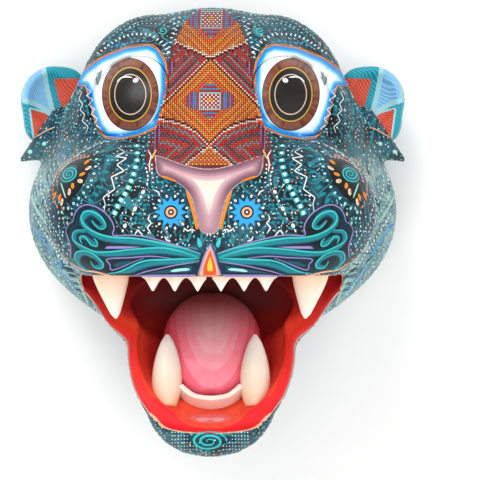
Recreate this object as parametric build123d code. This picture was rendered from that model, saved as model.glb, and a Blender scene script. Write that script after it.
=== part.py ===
from build123d import *
import os
from math import asin, atan2, cos, degrees, pi, sin, sqrt

# A big cat's head wall mask with its mouth wide open, as a woodcarver builds it.  One block of light
# wood is carved outside and hollowed from the back.  Ears, eyes, teeth and tongue are carved apart
# and let into sockets.  A steel strap with a D-ring, screwed into a pocket in the back, hangs it.
#
# Millimetres.  +X is the viewer's right, +Z is up and the face looks along -Y.  The wall is the
# plane y = 0 and a "depth" is a distance out from it.  The origin is on the wall, behind the muzzle.

# ---- skull and jowls: each is a half egg on a straight barrel that runs back to the wall --------
SKULL_HALF_WIDTH = 122
SKULL_HALF_HEIGHT = 131
SKULL_Z = 45
SKULL_BARREL = 62
SKULL_DOME = 98
JOWL_HALF_WIDTH = 141
JOWL_HALF_HEIGHT = 98
JOWL_Z = 22
JOWL_BARREL = 50
JOWL_DOME = 72

# ---- crown: a low boss each side that squares the top of the head ------------------------------
CROWN_X = 45
CROWN_HALF_WIDTH = 62
CROWN_HALF_HEIGHT = 78
CROWN_Z = 95
CROWN_BARREL = 62
CROWN_DOME = 52

# ---- muzzle: two whisker pads with a fuller mass between them ----------------------------------
PAD_X = 50
PAD_HALF_WIDTH = 68
PAD_HALF_HEIGHT = 54
PAD_HALF_DEPTH = 60
PAD_Z = 20
MUZZLE_HALF_WIDTH = 88
MUZZLE_HALF_HEIGHT = 60
MUZZLE_HALF_DEPTH = 62
MUZZLE_Z = 0
MUZZLE_DEPTH = 140

# ---- bridge and nose ---------------------------------------------------------------------------
BRIDGE_TOP_Z = 129
BRIDGE_TOP_DEPTH = 116
BRIDGE_TOP_R = 25
BRIDGE_LOW_Z = 39
BRIDGE_LOW_DEPTH = 161
BRIDGE_LOW_R = 38
NOSE_HALF_WIDTH = 40
NOSE_HALF_HEIGHT = 15
NOSE_HALF_DEPTH = 26
NOSE_Z = 44
NOSE_DEPTH = 183

# ---- brows over the eyes, and the two pointed tufts below the ears -----------------------------
BROW_X = 60
BROW_Z = 126
BROW_HALF_WIDTH = 46
BROW_HALF_HEIGHT = 27
BROW_HALF_DEPTH = 34
BROW_SINK = 27
BROW_DROOP = 27
TUFT_LENGTH = 49
TUFT_ROOT_R = 23
TUFT_TIP_R = 2.5
TUFT_SINK = 14
TUFT_Z = 76
TUFT_DEPTH = 55
TUFT_FLATNESS = 0.6
TUFT_DROOP = 25

# ---- lower jaw ---------------------------------------------------------------------------------
JAW_HALF_WIDTH = 62
JAW_HALF_LENGTH = 92
JAW_HALF_THICKNESS = 44
JAW_DEPTH = 98
JAW_Z = -78
JAW_DROP = 41
CHIN_HALF_WIDTH = 39
CHIN_HALF_HEIGHT = 26
CHIN_HALF_DEPTH = 32
CHIN_DEPTH = 138
CHIN_Z = -128
CORNER_X = 52
CORNER_HALF_WIDTH = 34
CORNER_HALF_HEIGHT = 42
CORNER_HALF_DEPTH = 42
CORNER_DEPTH = 88
CORNER_Z = -34

# ---- open mouth --------------------------------------------------------------------------------
LIP_Z = -25
MOUTH_HALF_WIDTH = 97
MOUTH_CORNER_DEPTH = 75
LOWER_LIP_DEPTH = 158
LOWER_LIP_Z = -134
BOWL_HALF_WIDTH = 54
BOWL_HALF_LENGTH = 70
BOWL_DEEP = 26
BOWL_ALONG = 60
THROAT_HALF_WIDTH = 60
THROAT_HALF_HEIGHT = 33
THROAT_HALF_DEPTH = 34
THROAT_DEPTH = 90
THROAT_Z = -47
PALATE_HALF_WIDTH = 46
PALATE_HALF_HEIGHT = 24
PALATE_HALF_DEPTH = 48
PALATE_DEPTH = 122
BEYOND = 400

# ---- hollow back -------------------------------------------------------------------------------
HOLLOW_HALF_WIDTH = 116
HOLLOW_HALF_HEIGHT = 84
HOLLOW_Z = 28
HOLLOW_BARREL = 26
HOLLOW_DOME = 78
MOUTH_WALL = 13

# ---- ears --------------------------------------------------------------------------------------
EAR_REACH = 46
EAR_HEIGHT = 60
EAR_THICKNESS = 15
EAR_Z = 103
EAR_DEPTH = 40
EAR_TENON = 12
EAR_TURN = 14
EAR_CUP = 6

# ---- eyes: lens-shaped plugs in round sockets --------------------------------------------------
EYE_X = 61
EYE_Z = 105
EYE_R = 32
EYE_DOME_R = 50
EYE_CROWN = 8
EYE_PLUG = 12

# ---- teeth and tongue --------------------------------------------------------------------------
FANG_X = 67
FANG_DEPTH = 141
FANG_LENGTH = 31
FANG_BASE_R = 11.5
FANG_PEG_R = 5
FANG_PEG = 10
INCISOR_COUNT = 6
INCISOR_ARC_R = 110
INCISOR_SET_BACK = 9
INCISOR_HALF_SPAN = 49
INCISOR_THICKNESS = 7
INCISOR_LENGTH = 10.5
INCISOR_ROOT = 5
INCISOR_GAP = 14
LOWER_FANG_X = 33
LOWER_FANG_ALONG = 109
LOWER_FANG_LENGTH = 52
LOWER_FANG_R = 10.5
LOWER_FANG_ROOT = 9
LOWER_FANG_LEAN = 15
LOWER_INCISOR_ALONG = 106
LOWER_INCISOR_ARC_R = 27
LOWER_INCISOR_THICKNESS = 4
LOWER_INCISOR_HALF_ANGLE = 55
LOWER_INCISOR_PROUD = 13
LOWER_INCISOR_ROOT = 9
TONGUE_ALONG = 52
TONGUE_HALF_WIDTH = 37
TONGUE_HALF_LENGTH = 46
TONGUE_HALF_THICKNESS = 16
TONGUE_SINK = 17
FIT = 0.15

# ---- hanger ------------------------------------------------------------------------------------
POCKET_WIDTH = 27
POCKET_TOP_Z = 166
POCKET_HEIGHT = 45
POCKET_DEPTH = 9
STRAP_WIDTH = 11
STRAP_LENGTH = 21
STRAP_THICKNESS = 1.2
STRAP_BOTTOM_GAP = 4
KNUCKLE_R = 3.4
RING_WIRE_R = 1.2
RING_HALF_WIDTH = 10
RING_DROP = 16
RING_PLAY = 0.1
SCREW_R = 1.5
SCREW_LENGTH = 14
SCREW_HEAD_R = 3
SCREW_HEAD_HEIGHT = 0.7
SCREW_PITCH = 9.5
SCREW_SLOT_WIDTH = 0.8
SCREW_SLOT_DEPTH = 0.5


def at_depth(x, depth, z):
    return Vector(x, -depth, z)


def egg(half_width, half_depth, half_height, middle, drop=0, roll=0):
    """An ellipsoid; drop lowers its front end, roll lowers the end that points to +X."""
    body = scale(Sphere(1), by=(half_width, half_depth, half_height))
    return Pos(middle) * Rot(X=drop) * Rot(Y=roll) * body


def barrel_and_dome(half_width, half_height, z, barrel, dome):
    """A straight oval barrel standing on the wall, closed by half an egg."""
    wall = Plane(origin=(0, 0, z), x_dir=(1, 0, 0), z_dir=(0, -1, 0))
    shaft = extrude(wall * Ellipse(half_width, half_height), barrel)
    half_ball = Sphere(1, arc_size1=0, align=(Align.CENTER, Align.CENTER, Align.MIN))
    return shaft + wall.offset(barrel) * scale(half_ball, by=(half_width, half_height, dome))


def tapered_bar(start, start_r, end, end_r):
    """The smooth hull of two balls in the plane x = 0, turned as one solid."""
    along = (end - start).normalized()
    length = (end - start).length
    lean = asin((start_r - end_r) / length)
    near = (start_r * cos(lean), start_r * sin(lean))
    far = (end_r * cos(lean), length + end_r * sin(lean))
    near_turn = (lean - pi / 2) / 2
    far_turn = (lean + pi / 2) / 2
    outline = [
        ThreePointArc((0, -start_r), (start_r * cos(near_turn), start_r * sin(near_turn)), near),
        Line(near, far),
        ThreePointArc(far, (end_r * cos(far_turn), length + end_r * sin(far_turn)), (0, length + end_r)),
        Line((0, length + end_r), (0, -start_r)),
    ]
    flat = Plane(origin=start, x_dir=(1, 0, 0), z_dir=Vector(1, 0, 0).cross(along))
    return revolve(flat * make_face(outline), Axis(start, along))


def skull_point(x, z):
    """The place on the skull's dome over (x, z), and the direction square to the dome there."""
    across = x / SKULL_HALF_WIDTH
    up = (z - SKULL_Z) / SKULL_HALF_HEIGHT
    out = sqrt(1 - across**2 - up**2)
    square = Vector(across / SKULL_HALF_WIDTH, -out / SKULL_DOME, up / SKULL_HALF_HEIGHT)
    return at_depth(x, SKULL_BARREL + SKULL_DOME * out, z), square.normalized()


def skull_half_width_at(z):
    return SKULL_HALF_WIDTH * sqrt(1 - ((z - SKULL_Z) / SKULL_HALF_HEIGHT) ** 2)


def jowl_half_width_at(z):
    return JOWL_HALF_WIDTH * sqrt(1 - ((z - JOWL_Z) / JOWL_HALF_HEIGHT) ** 2)


def muzzle_front_at(z):
    return MUZZLE_DEPTH + MUZZLE_HALF_DEPTH * sqrt(1 - ((z - MUZZLE_Z) / MUZZLE_HALF_HEIGHT) ** 2)


def both(piece):
    return [piece, mirror(piece, about=Plane.YZ)]


# The lower lip's rim lies in one slanting plane: its local Y runs down it from the mouth's corners
# to the front of the lip, and its local Z points out of the mouth.
RIM_RUN = LOWER_LIP_DEPTH - MOUTH_CORNER_DEPTH
RIM_FALL = LIP_Z - LOWER_LIP_Z
RIM_LENGTH = sqrt(RIM_RUN**2 + RIM_FALL**2)
RIM_DROP = degrees(atan2(RIM_FALL, RIM_RUN))
RIM_DOWN = Vector(0, -RIM_RUN / RIM_LENGTH, -RIM_FALL / RIM_LENGTH)
RIM_OUT = Vector(0, -RIM_FALL / RIM_LENGTH, RIM_RUN / RIM_LENGTH)
RIM = Plane(origin=at_depth(0, MOUTH_CORNER_DEPTH, LIP_Z), x_dir=(-1, 0, 0), z_dir=RIM_OUT)


def on_rim(x, along, out):
    return RIM.origin + Vector(x, 0, 0) + RIM_DOWN * along + RIM_OUT * out


def bowl_out_at(x, along):
    """Height of the bowl's floor against the rim's plane, below it and so negative."""
    across = x / BOWL_HALF_WIDTH
    down = (along - BOWL_ALONG) / BOWL_HALF_LENGTH
    return -BOWL_DEEP * sqrt(1 - across**2 - down**2)


def make_bulk():
    """Everything outside, before the mouth, the hollow and the sockets are cut."""
    bulk = barrel_and_dome(SKULL_HALF_WIDTH, SKULL_HALF_HEIGHT, SKULL_Z, SKULL_BARREL, SKULL_DOME)
    bulk += barrel_and_dome(JOWL_HALF_WIDTH, JOWL_HALF_HEIGHT, JOWL_Z, JOWL_BARREL, JOWL_DOME)
    crown = barrel_and_dome(CROWN_HALF_WIDTH, CROWN_HALF_HEIGHT, CROWN_Z, CROWN_BARREL, CROWN_DOME)
    for side_crown in both(Pos(CROWN_X, 0, 0) * crown):
        bulk += side_crown
    pad_middle = at_depth(PAD_X, MUZZLE_DEPTH, PAD_Z)
    for pad in both(egg(PAD_HALF_WIDTH, PAD_HALF_DEPTH, PAD_HALF_HEIGHT, pad_middle)):
        bulk += pad
    muzzle_middle = at_depth(0, MUZZLE_DEPTH, MUZZLE_Z)
    bulk += egg(MUZZLE_HALF_WIDTH, MUZZLE_HALF_DEPTH, MUZZLE_HALF_HEIGHT, muzzle_middle)
    bulk += tapered_bar(
        at_depth(0, BRIDGE_TOP_DEPTH, BRIDGE_TOP_Z),
        BRIDGE_TOP_R,
        at_depth(0, BRIDGE_LOW_DEPTH, BRIDGE_LOW_Z),
        BRIDGE_LOW_R,
    )
    bulk += egg(NOSE_HALF_WIDTH, NOSE_HALF_DEPTH, NOSE_HALF_HEIGHT, at_depth(0, NOSE_DEPTH, NOSE_Z))
    brow_surface, brow_square = skull_point(BROW_X, BROW_Z)
    brow_middle = brow_surface - brow_square * BROW_SINK
    for brow in both(egg(BROW_HALF_WIDTH, BROW_HALF_DEPTH, BROW_HALF_HEIGHT, brow_middle, roll=BROW_DROOP)):
        bulk += brow
    bulk += egg(
        JAW_HALF_WIDTH, JAW_HALF_LENGTH, JAW_HALF_THICKNESS, at_depth(0, JAW_DEPTH, JAW_Z), JAW_DROP
    )
    bulk += egg(CHIN_HALF_WIDTH, CHIN_HALF_DEPTH, CHIN_HALF_HEIGHT, at_depth(0, CHIN_DEPTH, CHIN_Z))
    corner_middle = at_depth(CORNER_X, CORNER_DEPTH, CORNER_Z)
    for corner in both(egg(CORNER_HALF_WIDTH, CORNER_HALF_DEPTH, CORNER_HALF_HEIGHT, corner_middle)):
        bulk += corner
    tuft = scale(
        Cone(TUFT_ROOT_R, TUFT_TIP_R, TUFT_LENGTH, align=(Align.CENTER, Align.CENTER, Align.MIN)),
        by=(1, TUFT_FLATNESS, 1),
    )
    tuft_root = at_depth(jowl_half_width_at(TUFT_Z) - TUFT_SINK, TUFT_DEPTH, TUFT_Z)
    for side_tuft in both(Pos(tuft_root) * Rot(Y=90 + TUFT_DROOP) * tuft):
        bulk += side_tuft
    return bulk


def make_mouth(wall=0):
    """The air in the mouth: all that is forward of the rim, the bowl of the jaw, throat and palate.

    A wall grows the rounded parts, to keep the hollow back away from them.
    """
    bowl_middle = on_rim(0, BOWL_ALONG, 0)
    air = egg(
        BOWL_HALF_WIDTH + wall, BOWL_HALF_LENGTH + wall, BOWL_DEEP + wall, bowl_middle, RIM_DROP
    )
    air += egg(
        THROAT_HALF_WIDTH + wall,
        THROAT_HALF_DEPTH + wall,
        THROAT_HALF_HEIGHT + wall,
        at_depth(0, THROAT_DEPTH, THROAT_Z),
    )
    air += egg(
        PALATE_HALF_WIDTH + wall,
        PALATE_HALF_DEPTH + wall,
        PALATE_HALF_HEIGHT + wall,
        at_depth(0, PALATE_DEPTH, LIP_Z),
    )
    side = make_face(
        Polyline(
            at_depth(-MOUTH_HALF_WIDTH, MOUTH_CORNER_DEPTH, LIP_Z),
            at_depth(-MOUTH_HALF_WIDTH, BEYOND, LIP_Z),
            at_depth(-MOUTH_HALF_WIDTH, BEYOND, LOWER_LIP_Z),
            at_depth(-MOUTH_HALF_WIDTH, LOWER_LIP_DEPTH, LOWER_LIP_Z),
            close=True,
        )
    )
    return air + extrude(side, 2 * MOUTH_HALF_WIDTH, dir=(1, 0, 0))


def make_hollow():
    """The worn-out back, kept a wall away from the mouth."""
    room = barrel_and_dome(
        HOLLOW_HALF_WIDTH, HOLLOW_HALF_HEIGHT, HOLLOW_Z, HOLLOW_BARREL, HOLLOW_DOME
    )
    return room - make_mouth(MOUTH_WALL)


def make_pocket():
    """The recess in the back rim that keeps the hanger clear of the wall."""
    low_corner = (0, -POCKET_DEPTH / 2, POCKET_TOP_Z - POCKET_HEIGHT / 2)
    return Pos(low_corner) * Box(POCKET_WIDTH, POCKET_DEPTH, POCKET_HEIGHT)


def make_ear_board(grow=0):
    """The right ear's flap with its tenon; grow makes the cutter for its mortise."""
    top = EAR_HEIGHT / 2 + grow
    reach = EAR_REACH + grow
    tenon = EAR_TENON + grow
    outline = Spline(
        (-tenon, 0.30 * top),
        (-tenon * 0.6, 0.93 * top),
        (0.45 * reach, 1.04 * top),
        (0.86 * reach, 0.84 * top),
        (reach, 0.28 * top),
        (0.90 * reach, -0.45 * top),
        (0.72 * reach, -top),
        (0.40 * reach, -0.93 * top),
        (-tenon, -0.42 * top),
        periodic=True,
    )
    root = at_depth(skull_half_width_at(EAR_Z), EAR_DEPTH, EAR_Z)
    flap = Plane(origin=root, x_dir=(1, 0, 0), z_dir=(0, -1, 0)).rotated((0, -EAR_TURN, 0))
    return extrude(flap * make_face(outline), EAR_THICKNESS / 2 + grow, both=True)


def make_ear():
    """The flap, dished in front inside a rounded rim."""
    root = at_depth(skull_half_width_at(EAR_Z), EAR_DEPTH, EAR_Z)
    dish_middle = (EAR_REACH * 0.52, -EAR_THICKNESS / 2 - EAR_CUP, 2)
    dish = Pos(root) * Rot(Z=-EAR_TURN) * Pos(dish_middle)
    dish *= scale(Sphere(1), by=(EAR_REACH * 0.36, 2 * EAR_CUP, EAR_HEIGHT * 0.38))
    return make_ear_board() - dish


def eye_plane():
    surface, square = skull_point(EYE_X, EYE_Z)
    return Plane(origin=surface - square * EYE_PLUG, x_dir=(0, 0, 1), z_dir=square)


def make_eye_plug(radius, height):
    flat = eye_plane()
    return extrude(flat * Circle(radius), height)


def make_eye():
    """A plug with a domed face that stands a crown's height above the skull."""
    flat = eye_plane()
    ball_middle = flat.origin + flat.z_dir * (EYE_PLUG + EYE_CROWN - EYE_DOME_R)
    return make_eye_plug(EYE_R, EYE_DOME_R) & (Pos(ball_middle) * Sphere(EYE_DOME_R))


def turned_tooth(half_widths, length, root=0, grow=0):
    """A tooth turned about its own Z: root below 0, tip at length, half widths from root to tip."""
    steps = len(half_widths)
    side = [(half + grow, length * step / steps) for step, half in enumerate(half_widths)]
    foot = [(0, length), (0, -root), (side[0][0], -root), side[0]]
    outline = [
        Polyline(*(foot if root else foot[:3])),
        Spline(*side, (0, length), tangents=[(0, 1), (-1, 0.15)]),
    ]
    return revolve(Plane.XZ * make_face(outline), Axis.Z)


def make_upper_fang():
    """A cone-shaped fang, point down, with a round peg that goes up into the lip."""
    taper = [FANG_BASE_R * share for share in (1, 0.93, 0.72, 0.4)]
    seat = at_depth(FANG_X, FANG_DEPTH, LIP_Z)
    return Pos(seat) * Rot(X=180) * turned_tooth(taper, FANG_LENGTH) + make_fang_peg(FANG_PEG_R)


def make_fang_peg(radius):
    seat = at_depth(FANG_X, FANG_DEPTH, LIP_Z)
    return Pos(seat) * Cylinder(radius, FANG_PEG, align=(Align.CENTER, Align.CENTER, Align.MIN))


def make_lower_fang(grow=0):
    """An almond-shaped fang that stands in the gum beside the lower incisors."""
    swell = [LOWER_FANG_R * share for share in (0.82, 0.97, 1.0, 0.86, 0.5)]
    tooth = turned_tooth(swell, LOWER_FANG_LENGTH, LOWER_FANG_ROOT, grow)
    foot = on_rim(LOWER_FANG_X, LOWER_FANG_ALONG, bowl_out_at(LOWER_FANG_X, LOWER_FANG_ALONG))
    return Pos(foot) * Rot(X=LOWER_FANG_LEAN) * tooth


def bent_strip(middle_r, thickness, half_angle, height):
    """A strip bent to an arc about Z, its middle on +Y."""
    inner = middle_r - thickness / 2
    outer = middle_r + thickness / 2
    corners = ((inner, -half_angle), (outer, -half_angle), (outer, half_angle), (inner, half_angle))
    ends = [Vector(radius, 0).rotate(Axis.Z, 90 + turn) for radius, turn in corners]
    outline = [
        Line(ends[0], ends[1]),
        ThreePointArc(ends[1], (0, outer), ends[2]),
        Line(ends[2], ends[3]),
        ThreePointArc(ends[3], (0, inner), ends[0]),
    ]
    return extrude(make_face(outline), height)


def incisor_turn():
    return degrees(asin(INCISOR_HALF_SPAN / INCISOR_ARC_R))


def incisor_place():
    middle_depth = muzzle_front_at(LIP_Z) - INCISOR_SET_BACK - INCISOR_ARC_R
    return Pos(at_depth(0, middle_depth, LIP_Z - INCISOR_LENGTH)) * Rot(Z=180)


def make_incisor_strip(grow=0):
    height = INCISOR_LENGTH + INCISOR_ROOT
    spread = incisor_turn() + degrees(grow / INCISOR_ARC_R)
    return incisor_place() * bent_strip(INCISOR_ARC_R, INCISOR_THICKNESS + 2 * grow, spread, height)


def make_upper_incisors():
    """One bent strip, notched from below into separate teeth."""
    strip = make_incisor_strip()
    step = 2 * incisor_turn() / INCISOR_COUNT
    notch_face = Plane.XZ * make_face(
        Polyline((-INCISOR_GAP / 2, 0), (INCISOR_GAP / 2, 0), (0, INCISOR_LENGTH - 2), close=True)
    )
    notch = Pos(0, INCISOR_ARC_R + INCISOR_THICKNESS, 0) * extrude(notch_face, 2 * INCISOR_THICKNESS)
    for gap in range(1, INCISOR_COUNT):
        turn = gap * step - incisor_turn()
        strip -= incisor_place() * Rot(Z=turn) * notch
    return strip


def make_lower_incisors(grow=0):
    """A low curved fence of teeth round the tongue's tip."""
    front_floor = bowl_out_at(0, LOWER_INCISOR_ALONG)
    low = front_floor - LOWER_INCISOR_ROOT
    flat = Plane(
        origin=on_rim(0, LOWER_INCISOR_ALONG - LOWER_INCISOR_ARC_R, low),
        x_dir=RIM.x_dir,
        z_dir=RIM_OUT,
    )
    spread = LOWER_INCISOR_HALF_ANGLE + degrees(grow / LOWER_INCISOR_ARC_R)
    height = LOWER_INCISOR_PROUD + LOWER_INCISOR_ROOT
    thickness = LOWER_INCISOR_THICKNESS + 2 * grow
    return flat * bent_strip(LOWER_INCISOR_ARC_R, thickness, spread, height)


def make_tongue(grow=0):
    middle = on_rim(0, TONGUE_ALONG, -TONGUE_SINK)
    return egg(
        TONGUE_HALF_WIDTH + grow,
        TONGUE_HALF_LENGTH + grow,
        TONGUE_HALF_THICKNESS + grow,
        middle,
        RIM_DROP,
    )


def make_head():
    head = make_bulk() - make_mouth() - make_hollow() - make_pocket()
    for cutter in (
        make_ear_board(FIT),
        make_eye_plug(EYE_R + FIT, EYE_DOME_R),
        make_fang_peg(FANG_PEG_R + FIT),
        make_lower_fang(FIT),
    ):
        for side_cutter in both(cutter):
            head -= side_cutter
    head -= make_incisor_strip(FIT)
    head -= make_lower_incisors(FIT)
    head -= make_tongue(FIT)
    for screw_z in screw_heights():
        head -= screw_shank(screw_z)
    return head


# ---- hanger: everything hangs from the knuckle's axis, which runs along X ----------------------
STRAP_LOW_Z = POCKET_TOP_Z - POCKET_HEIGHT + STRAP_BOTTOM_GAP
KNUCKLE_Z = STRAP_LOW_Z + STRAP_LENGTH
KNUCKLE_DEPTH = POCKET_DEPTH - KNUCKLE_R


def screw_heights():
    middle = STRAP_LOW_Z + STRAP_LENGTH / 2 - KNUCKLE_R / 2
    return [middle - SCREW_PITCH / 2, middle + SCREW_PITCH / 2]


def into_wood(z, depth):
    """A plane at a depth whose Z runs from the wall into the wood."""
    return Plane(origin=at_depth(0, depth, z), x_dir=(1, 0, 0), z_dir=(0, -1, 0))


def screw_shank(z):
    return extrude(into_wood(z, POCKET_DEPTH - STRAP_THICKNESS) * Circle(SCREW_R), SCREW_LENGTH)


def make_screw(z):
    under_head = POCKET_DEPTH - STRAP_THICKNESS
    head = extrude(into_wood(z, under_head - SCREW_HEAD_HEIGHT) * Circle(SCREW_HEAD_R), SCREW_HEAD_HEIGHT)
    slot_plane = into_wood(z, under_head - SCREW_HEAD_HEIGHT)
    slot = extrude(slot_plane * Rectangle(2 * SCREW_HEAD_R, SCREW_SLOT_WIDTH), SCREW_SLOT_DEPTH)
    return head - slot + screw_shank(z)


def make_strap():
    """A flat strap whose top end is rolled round the ring's straight side."""
    flat = Pos(at_depth(0, POCKET_DEPTH - STRAP_THICKNESS / 2, STRAP_LOW_Z + STRAP_LENGTH / 2))
    strap = flat * Box(STRAP_WIDTH, STRAP_THICKNESS, STRAP_LENGTH)
    axle = Plane(origin=at_depth(-STRAP_WIDTH / 2, KNUCKLE_DEPTH, KNUCKLE_Z), z_dir=(1, 0, 0))
    strap += extrude(axle * Circle(KNUCKLE_R), STRAP_WIDTH)
    strap -= extrude(axle * Circle(RING_WIRE_R + RING_PLAY), STRAP_WIDTH)
    for screw_z in screw_heights():
        strap -= screw_shank(screw_z)
    return strap


def make_ring():
    """A bent wire D: a straight side in the knuckle and a round bow hanging below it."""
    axis_plane = Plane(origin=at_depth(0, KNUCKLE_DEPTH, KNUCKLE_Z), x_dir=(1, 0, 0), z_dir=(0, 1, 0))
    corner_r = 2 * RING_WIRE_R
    side_x = RING_HALF_WIDTH - RING_WIRE_R
    low = RING_DROP - RING_WIRE_R - side_x
    loop = [
        Line((-side_x + corner_r, 0), (side_x - corner_r, 0)),
        RadiusArc((side_x - corner_r, 0), (side_x, corner_r), -corner_r),
        Line((side_x, corner_r), (side_x, low)),
        ThreePointArc((side_x, low), (0, low + side_x), (-side_x, low)),
        Line((-side_x, low), (-side_x, corner_r)),
        RadiusArc((-side_x, corner_r), (-side_x + corner_r, 0), -corner_r),
    ]
    path = axis_plane * Wire(loop)
    start = Plane(origin=path @ 0, z_dir=path % 0)
    return sweep(start * Circle(RING_WIRE_R), path)


os.makedirs("parts", exist_ok=True)
export_step(make_head(), "parts/head.step")
for side, flip in (("right", False), ("left", True)):
    for name, piece in (
        ("ear", make_ear()),
        ("eye", make_eye()),
        ("upper_fang", make_upper_fang()),
        ("lower_fang", make_lower_fang()),
    ):
        shown = mirror(piece, about=Plane.YZ) if flip else piece
        export_step(shown, f"parts/{name}_{side}.step")
export_step(make_upper_incisors(), "parts/upper_incisors.step")
export_step(make_lower_incisors(), "parts/lower_incisors.step")
export_step(make_tongue(), "parts/tongue.step")
export_step(make_strap(), "parts/hanger_strap.step")
export_step(make_ring(), "parts/hanger_ring.step")
for name, screw_z in zip(("lower", "upper"), screw_heights()):
    export_step(make_screw(screw_z), f"parts/hanger_screw_{name}.step")
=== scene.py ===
import bpy
import math
import random
import numpy as np
import openvdb
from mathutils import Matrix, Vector
from mathutils.bvhtree import BVHTree


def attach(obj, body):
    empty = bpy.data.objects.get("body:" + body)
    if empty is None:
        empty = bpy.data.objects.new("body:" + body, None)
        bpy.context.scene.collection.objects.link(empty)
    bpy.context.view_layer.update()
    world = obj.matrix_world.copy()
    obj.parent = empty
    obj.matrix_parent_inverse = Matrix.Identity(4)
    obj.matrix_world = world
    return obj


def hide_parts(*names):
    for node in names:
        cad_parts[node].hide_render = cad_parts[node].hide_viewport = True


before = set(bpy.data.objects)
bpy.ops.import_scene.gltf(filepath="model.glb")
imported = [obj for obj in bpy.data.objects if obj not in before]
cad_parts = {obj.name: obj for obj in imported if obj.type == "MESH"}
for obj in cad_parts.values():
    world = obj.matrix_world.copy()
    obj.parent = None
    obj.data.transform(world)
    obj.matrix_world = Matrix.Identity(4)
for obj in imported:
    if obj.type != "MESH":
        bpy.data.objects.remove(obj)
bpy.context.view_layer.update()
random.seed(11)
mm = 0.001

# Shapes are worked out in millimetres as (x, depth, z): depth is the distance out from the wall.
# A mass is an egg (half sizes, middle, nose drop, roll) or a round bar between two balls.
head = {
    "voxel": 1.25,
    "skull": {"half": (122, 98, 131), "z": 45, "barrel": 62},
    "jowl": {"half": (141, 72, 98), "z": 22, "barrel": 50},
    "pad": {"half": (68, 60, 54), "at": (50, 140, 20)},
    "muzzle": {"half": (88, 62, 60), "at": (0, 140, 0)},
    "bridge": {"a": (0, 116, 129), "ra": 25, "b": (0, 161, 39), "rb": 38},
    "nose": {"half": (39, 25, 14), "at": (0, 183, 45)},
    "brow": {"half": (46, 27, 26), "at": (55, 104, 112), "roll": 27},
    "crown": {"half": (60, 50, 76), "at": (44, 0, 95), "barrel": 62},
    "jaw": {"half": (62, 92, 44), "at": (0, 98, -78), "drop": 41},
    "chin": {"half": (39, 32, 26), "at": (0, 138, -128)},
    "corner": {"half": (34, 42, 42), "at": (52, 88, -34)},
    "tuftRoot": (112, 55, 82),
    "tuftTip": (146, 52, 62),
}
mouth = {
    "lipZ": -25,
    "cornerDepth": 75,
    "lowerLip": (158, -134),
    "halfWidth": 97,
    "bowl": {"half": (54, 70, 26), "along": 60},
    "throat": {"half": (60, 34, 33), "at": (0, 90, -47)},
    "palate": {"half": (46, 48, 24), "at": (0, 122, -25)},
}
hollow = {"half": (116, 78, 84), "z": 28, "barrel": 26, "mouthWall": 13}
pocket = {"halfWidth": 13.5, "depth": 9, "low": 121, "high": 166}
eye = {"x": 61, "z": 105, "radius": 32, "domeRadius": 50, "crown": 8, "plug": 12}
ear = {"thickness": 15, "z": 103, "depth": 40, "turn": 14, "tenon": 12}


# ---- distances to the carved masses


def turned(depth, z, drop):
    a = math.radians(drop)
    return depth * math.cos(a) - z * math.sin(a), depth * math.sin(a) + z * math.cos(a)


def eggDistance(p, half, at, drop=0, roll=0):
    x, d, z = p[0] - at[0], p[1] - at[1], p[2] - at[2]
    if drop:
        d, z = turned(d, z, drop)
    if roll:
        x, z = turned(x, z, roll)
    far = np.sqrt((x / half[0]) ** 2 + (d / half[1]) ** 2 + (z / half[2]) ** 2)
    steep = np.sqrt((x / half[0] ** 2) ** 2 + (d / half[1] ** 2) ** 2 + (z / half[2] ** 2) ** 2)
    return far * (far - 1) / np.maximum(steep, 1e-6)


def barrelDistance(p, form):
    depth = np.maximum(p[1] - form["barrel"], 0)
    return eggDistance((p[0], depth, p[2]), form["half"], (0, 0, form["z"]))


def barDistance(p, a, ra, b, rb):
    a, b = np.array(a, float), np.array(b, float)
    axis = b - a
    span = float(axis @ axis)
    x, d, z = p[0] - a[0], p[1] - a[1], p[2] - a[2]
    along = np.clip((x * axis[0] + d * axis[1] + z * axis[2]) / span, 0, 1)
    gap = np.sqrt((x - along * axis[0]) ** 2 + (d - along * axis[1]) ** 2 + (z - along * axis[2]) ** 2)
    return gap - (ra + (rb - ra) * along)


def melt(a, b, width):  # joins two masses with a soft valley between them
    h = np.clip(0.5 + 0.5 * (b - a) / width, 0, 1)
    return b + (a - b) * h - width * h * (1 - h)


def cut(a, b, width):  # takes b out of a and rounds the edge
    return -melt(-a, b, width)


def bulkDistance(p):
    m = (np.abs(p[0]), p[1], p[2])
    s = barrelDistance(p, head["skull"])
    s = melt(s, barrelDistance(p, head["jowl"]), 14)
    crown = head["crown"]
    past = (m[0], np.maximum(p[1] - crown["barrel"], 0), p[2])
    s = melt(s, eggDistance(past, crown["half"], crown["at"]), 5)
    s = melt(s, eggDistance(m, head["brow"]["half"], head["brow"]["at"], roll=head["brow"]["roll"]), 10)
    s = melt(s, barDistance(m, head["tuftRoot"], 20, head["tuftTip"], 2), 6)
    face = eggDistance(m, head["pad"]["half"], head["pad"]["at"])
    face = melt(face, eggDistance(p, head["muzzle"]["half"], head["muzzle"]["at"]), 16)
    bridge = head["bridge"]
    face = melt(face, barDistance(p, bridge["a"], bridge["ra"], bridge["b"], bridge["rb"]), 12)
    face = melt(face, eggDistance(p, head["nose"]["half"], head["nose"]["at"]), 6)
    s = melt(s, face, 10)
    low = eggDistance(p, head["jaw"]["half"], head["jaw"]["at"], drop=head["jaw"]["drop"])
    low = melt(low, eggDistance(p, head["chin"]["half"], head["chin"]["at"]), 12)
    low = melt(low, eggDistance(m, head["corner"]["half"], head["corner"]["at"]), 10)
    return melt(s, low, 10)


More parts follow.
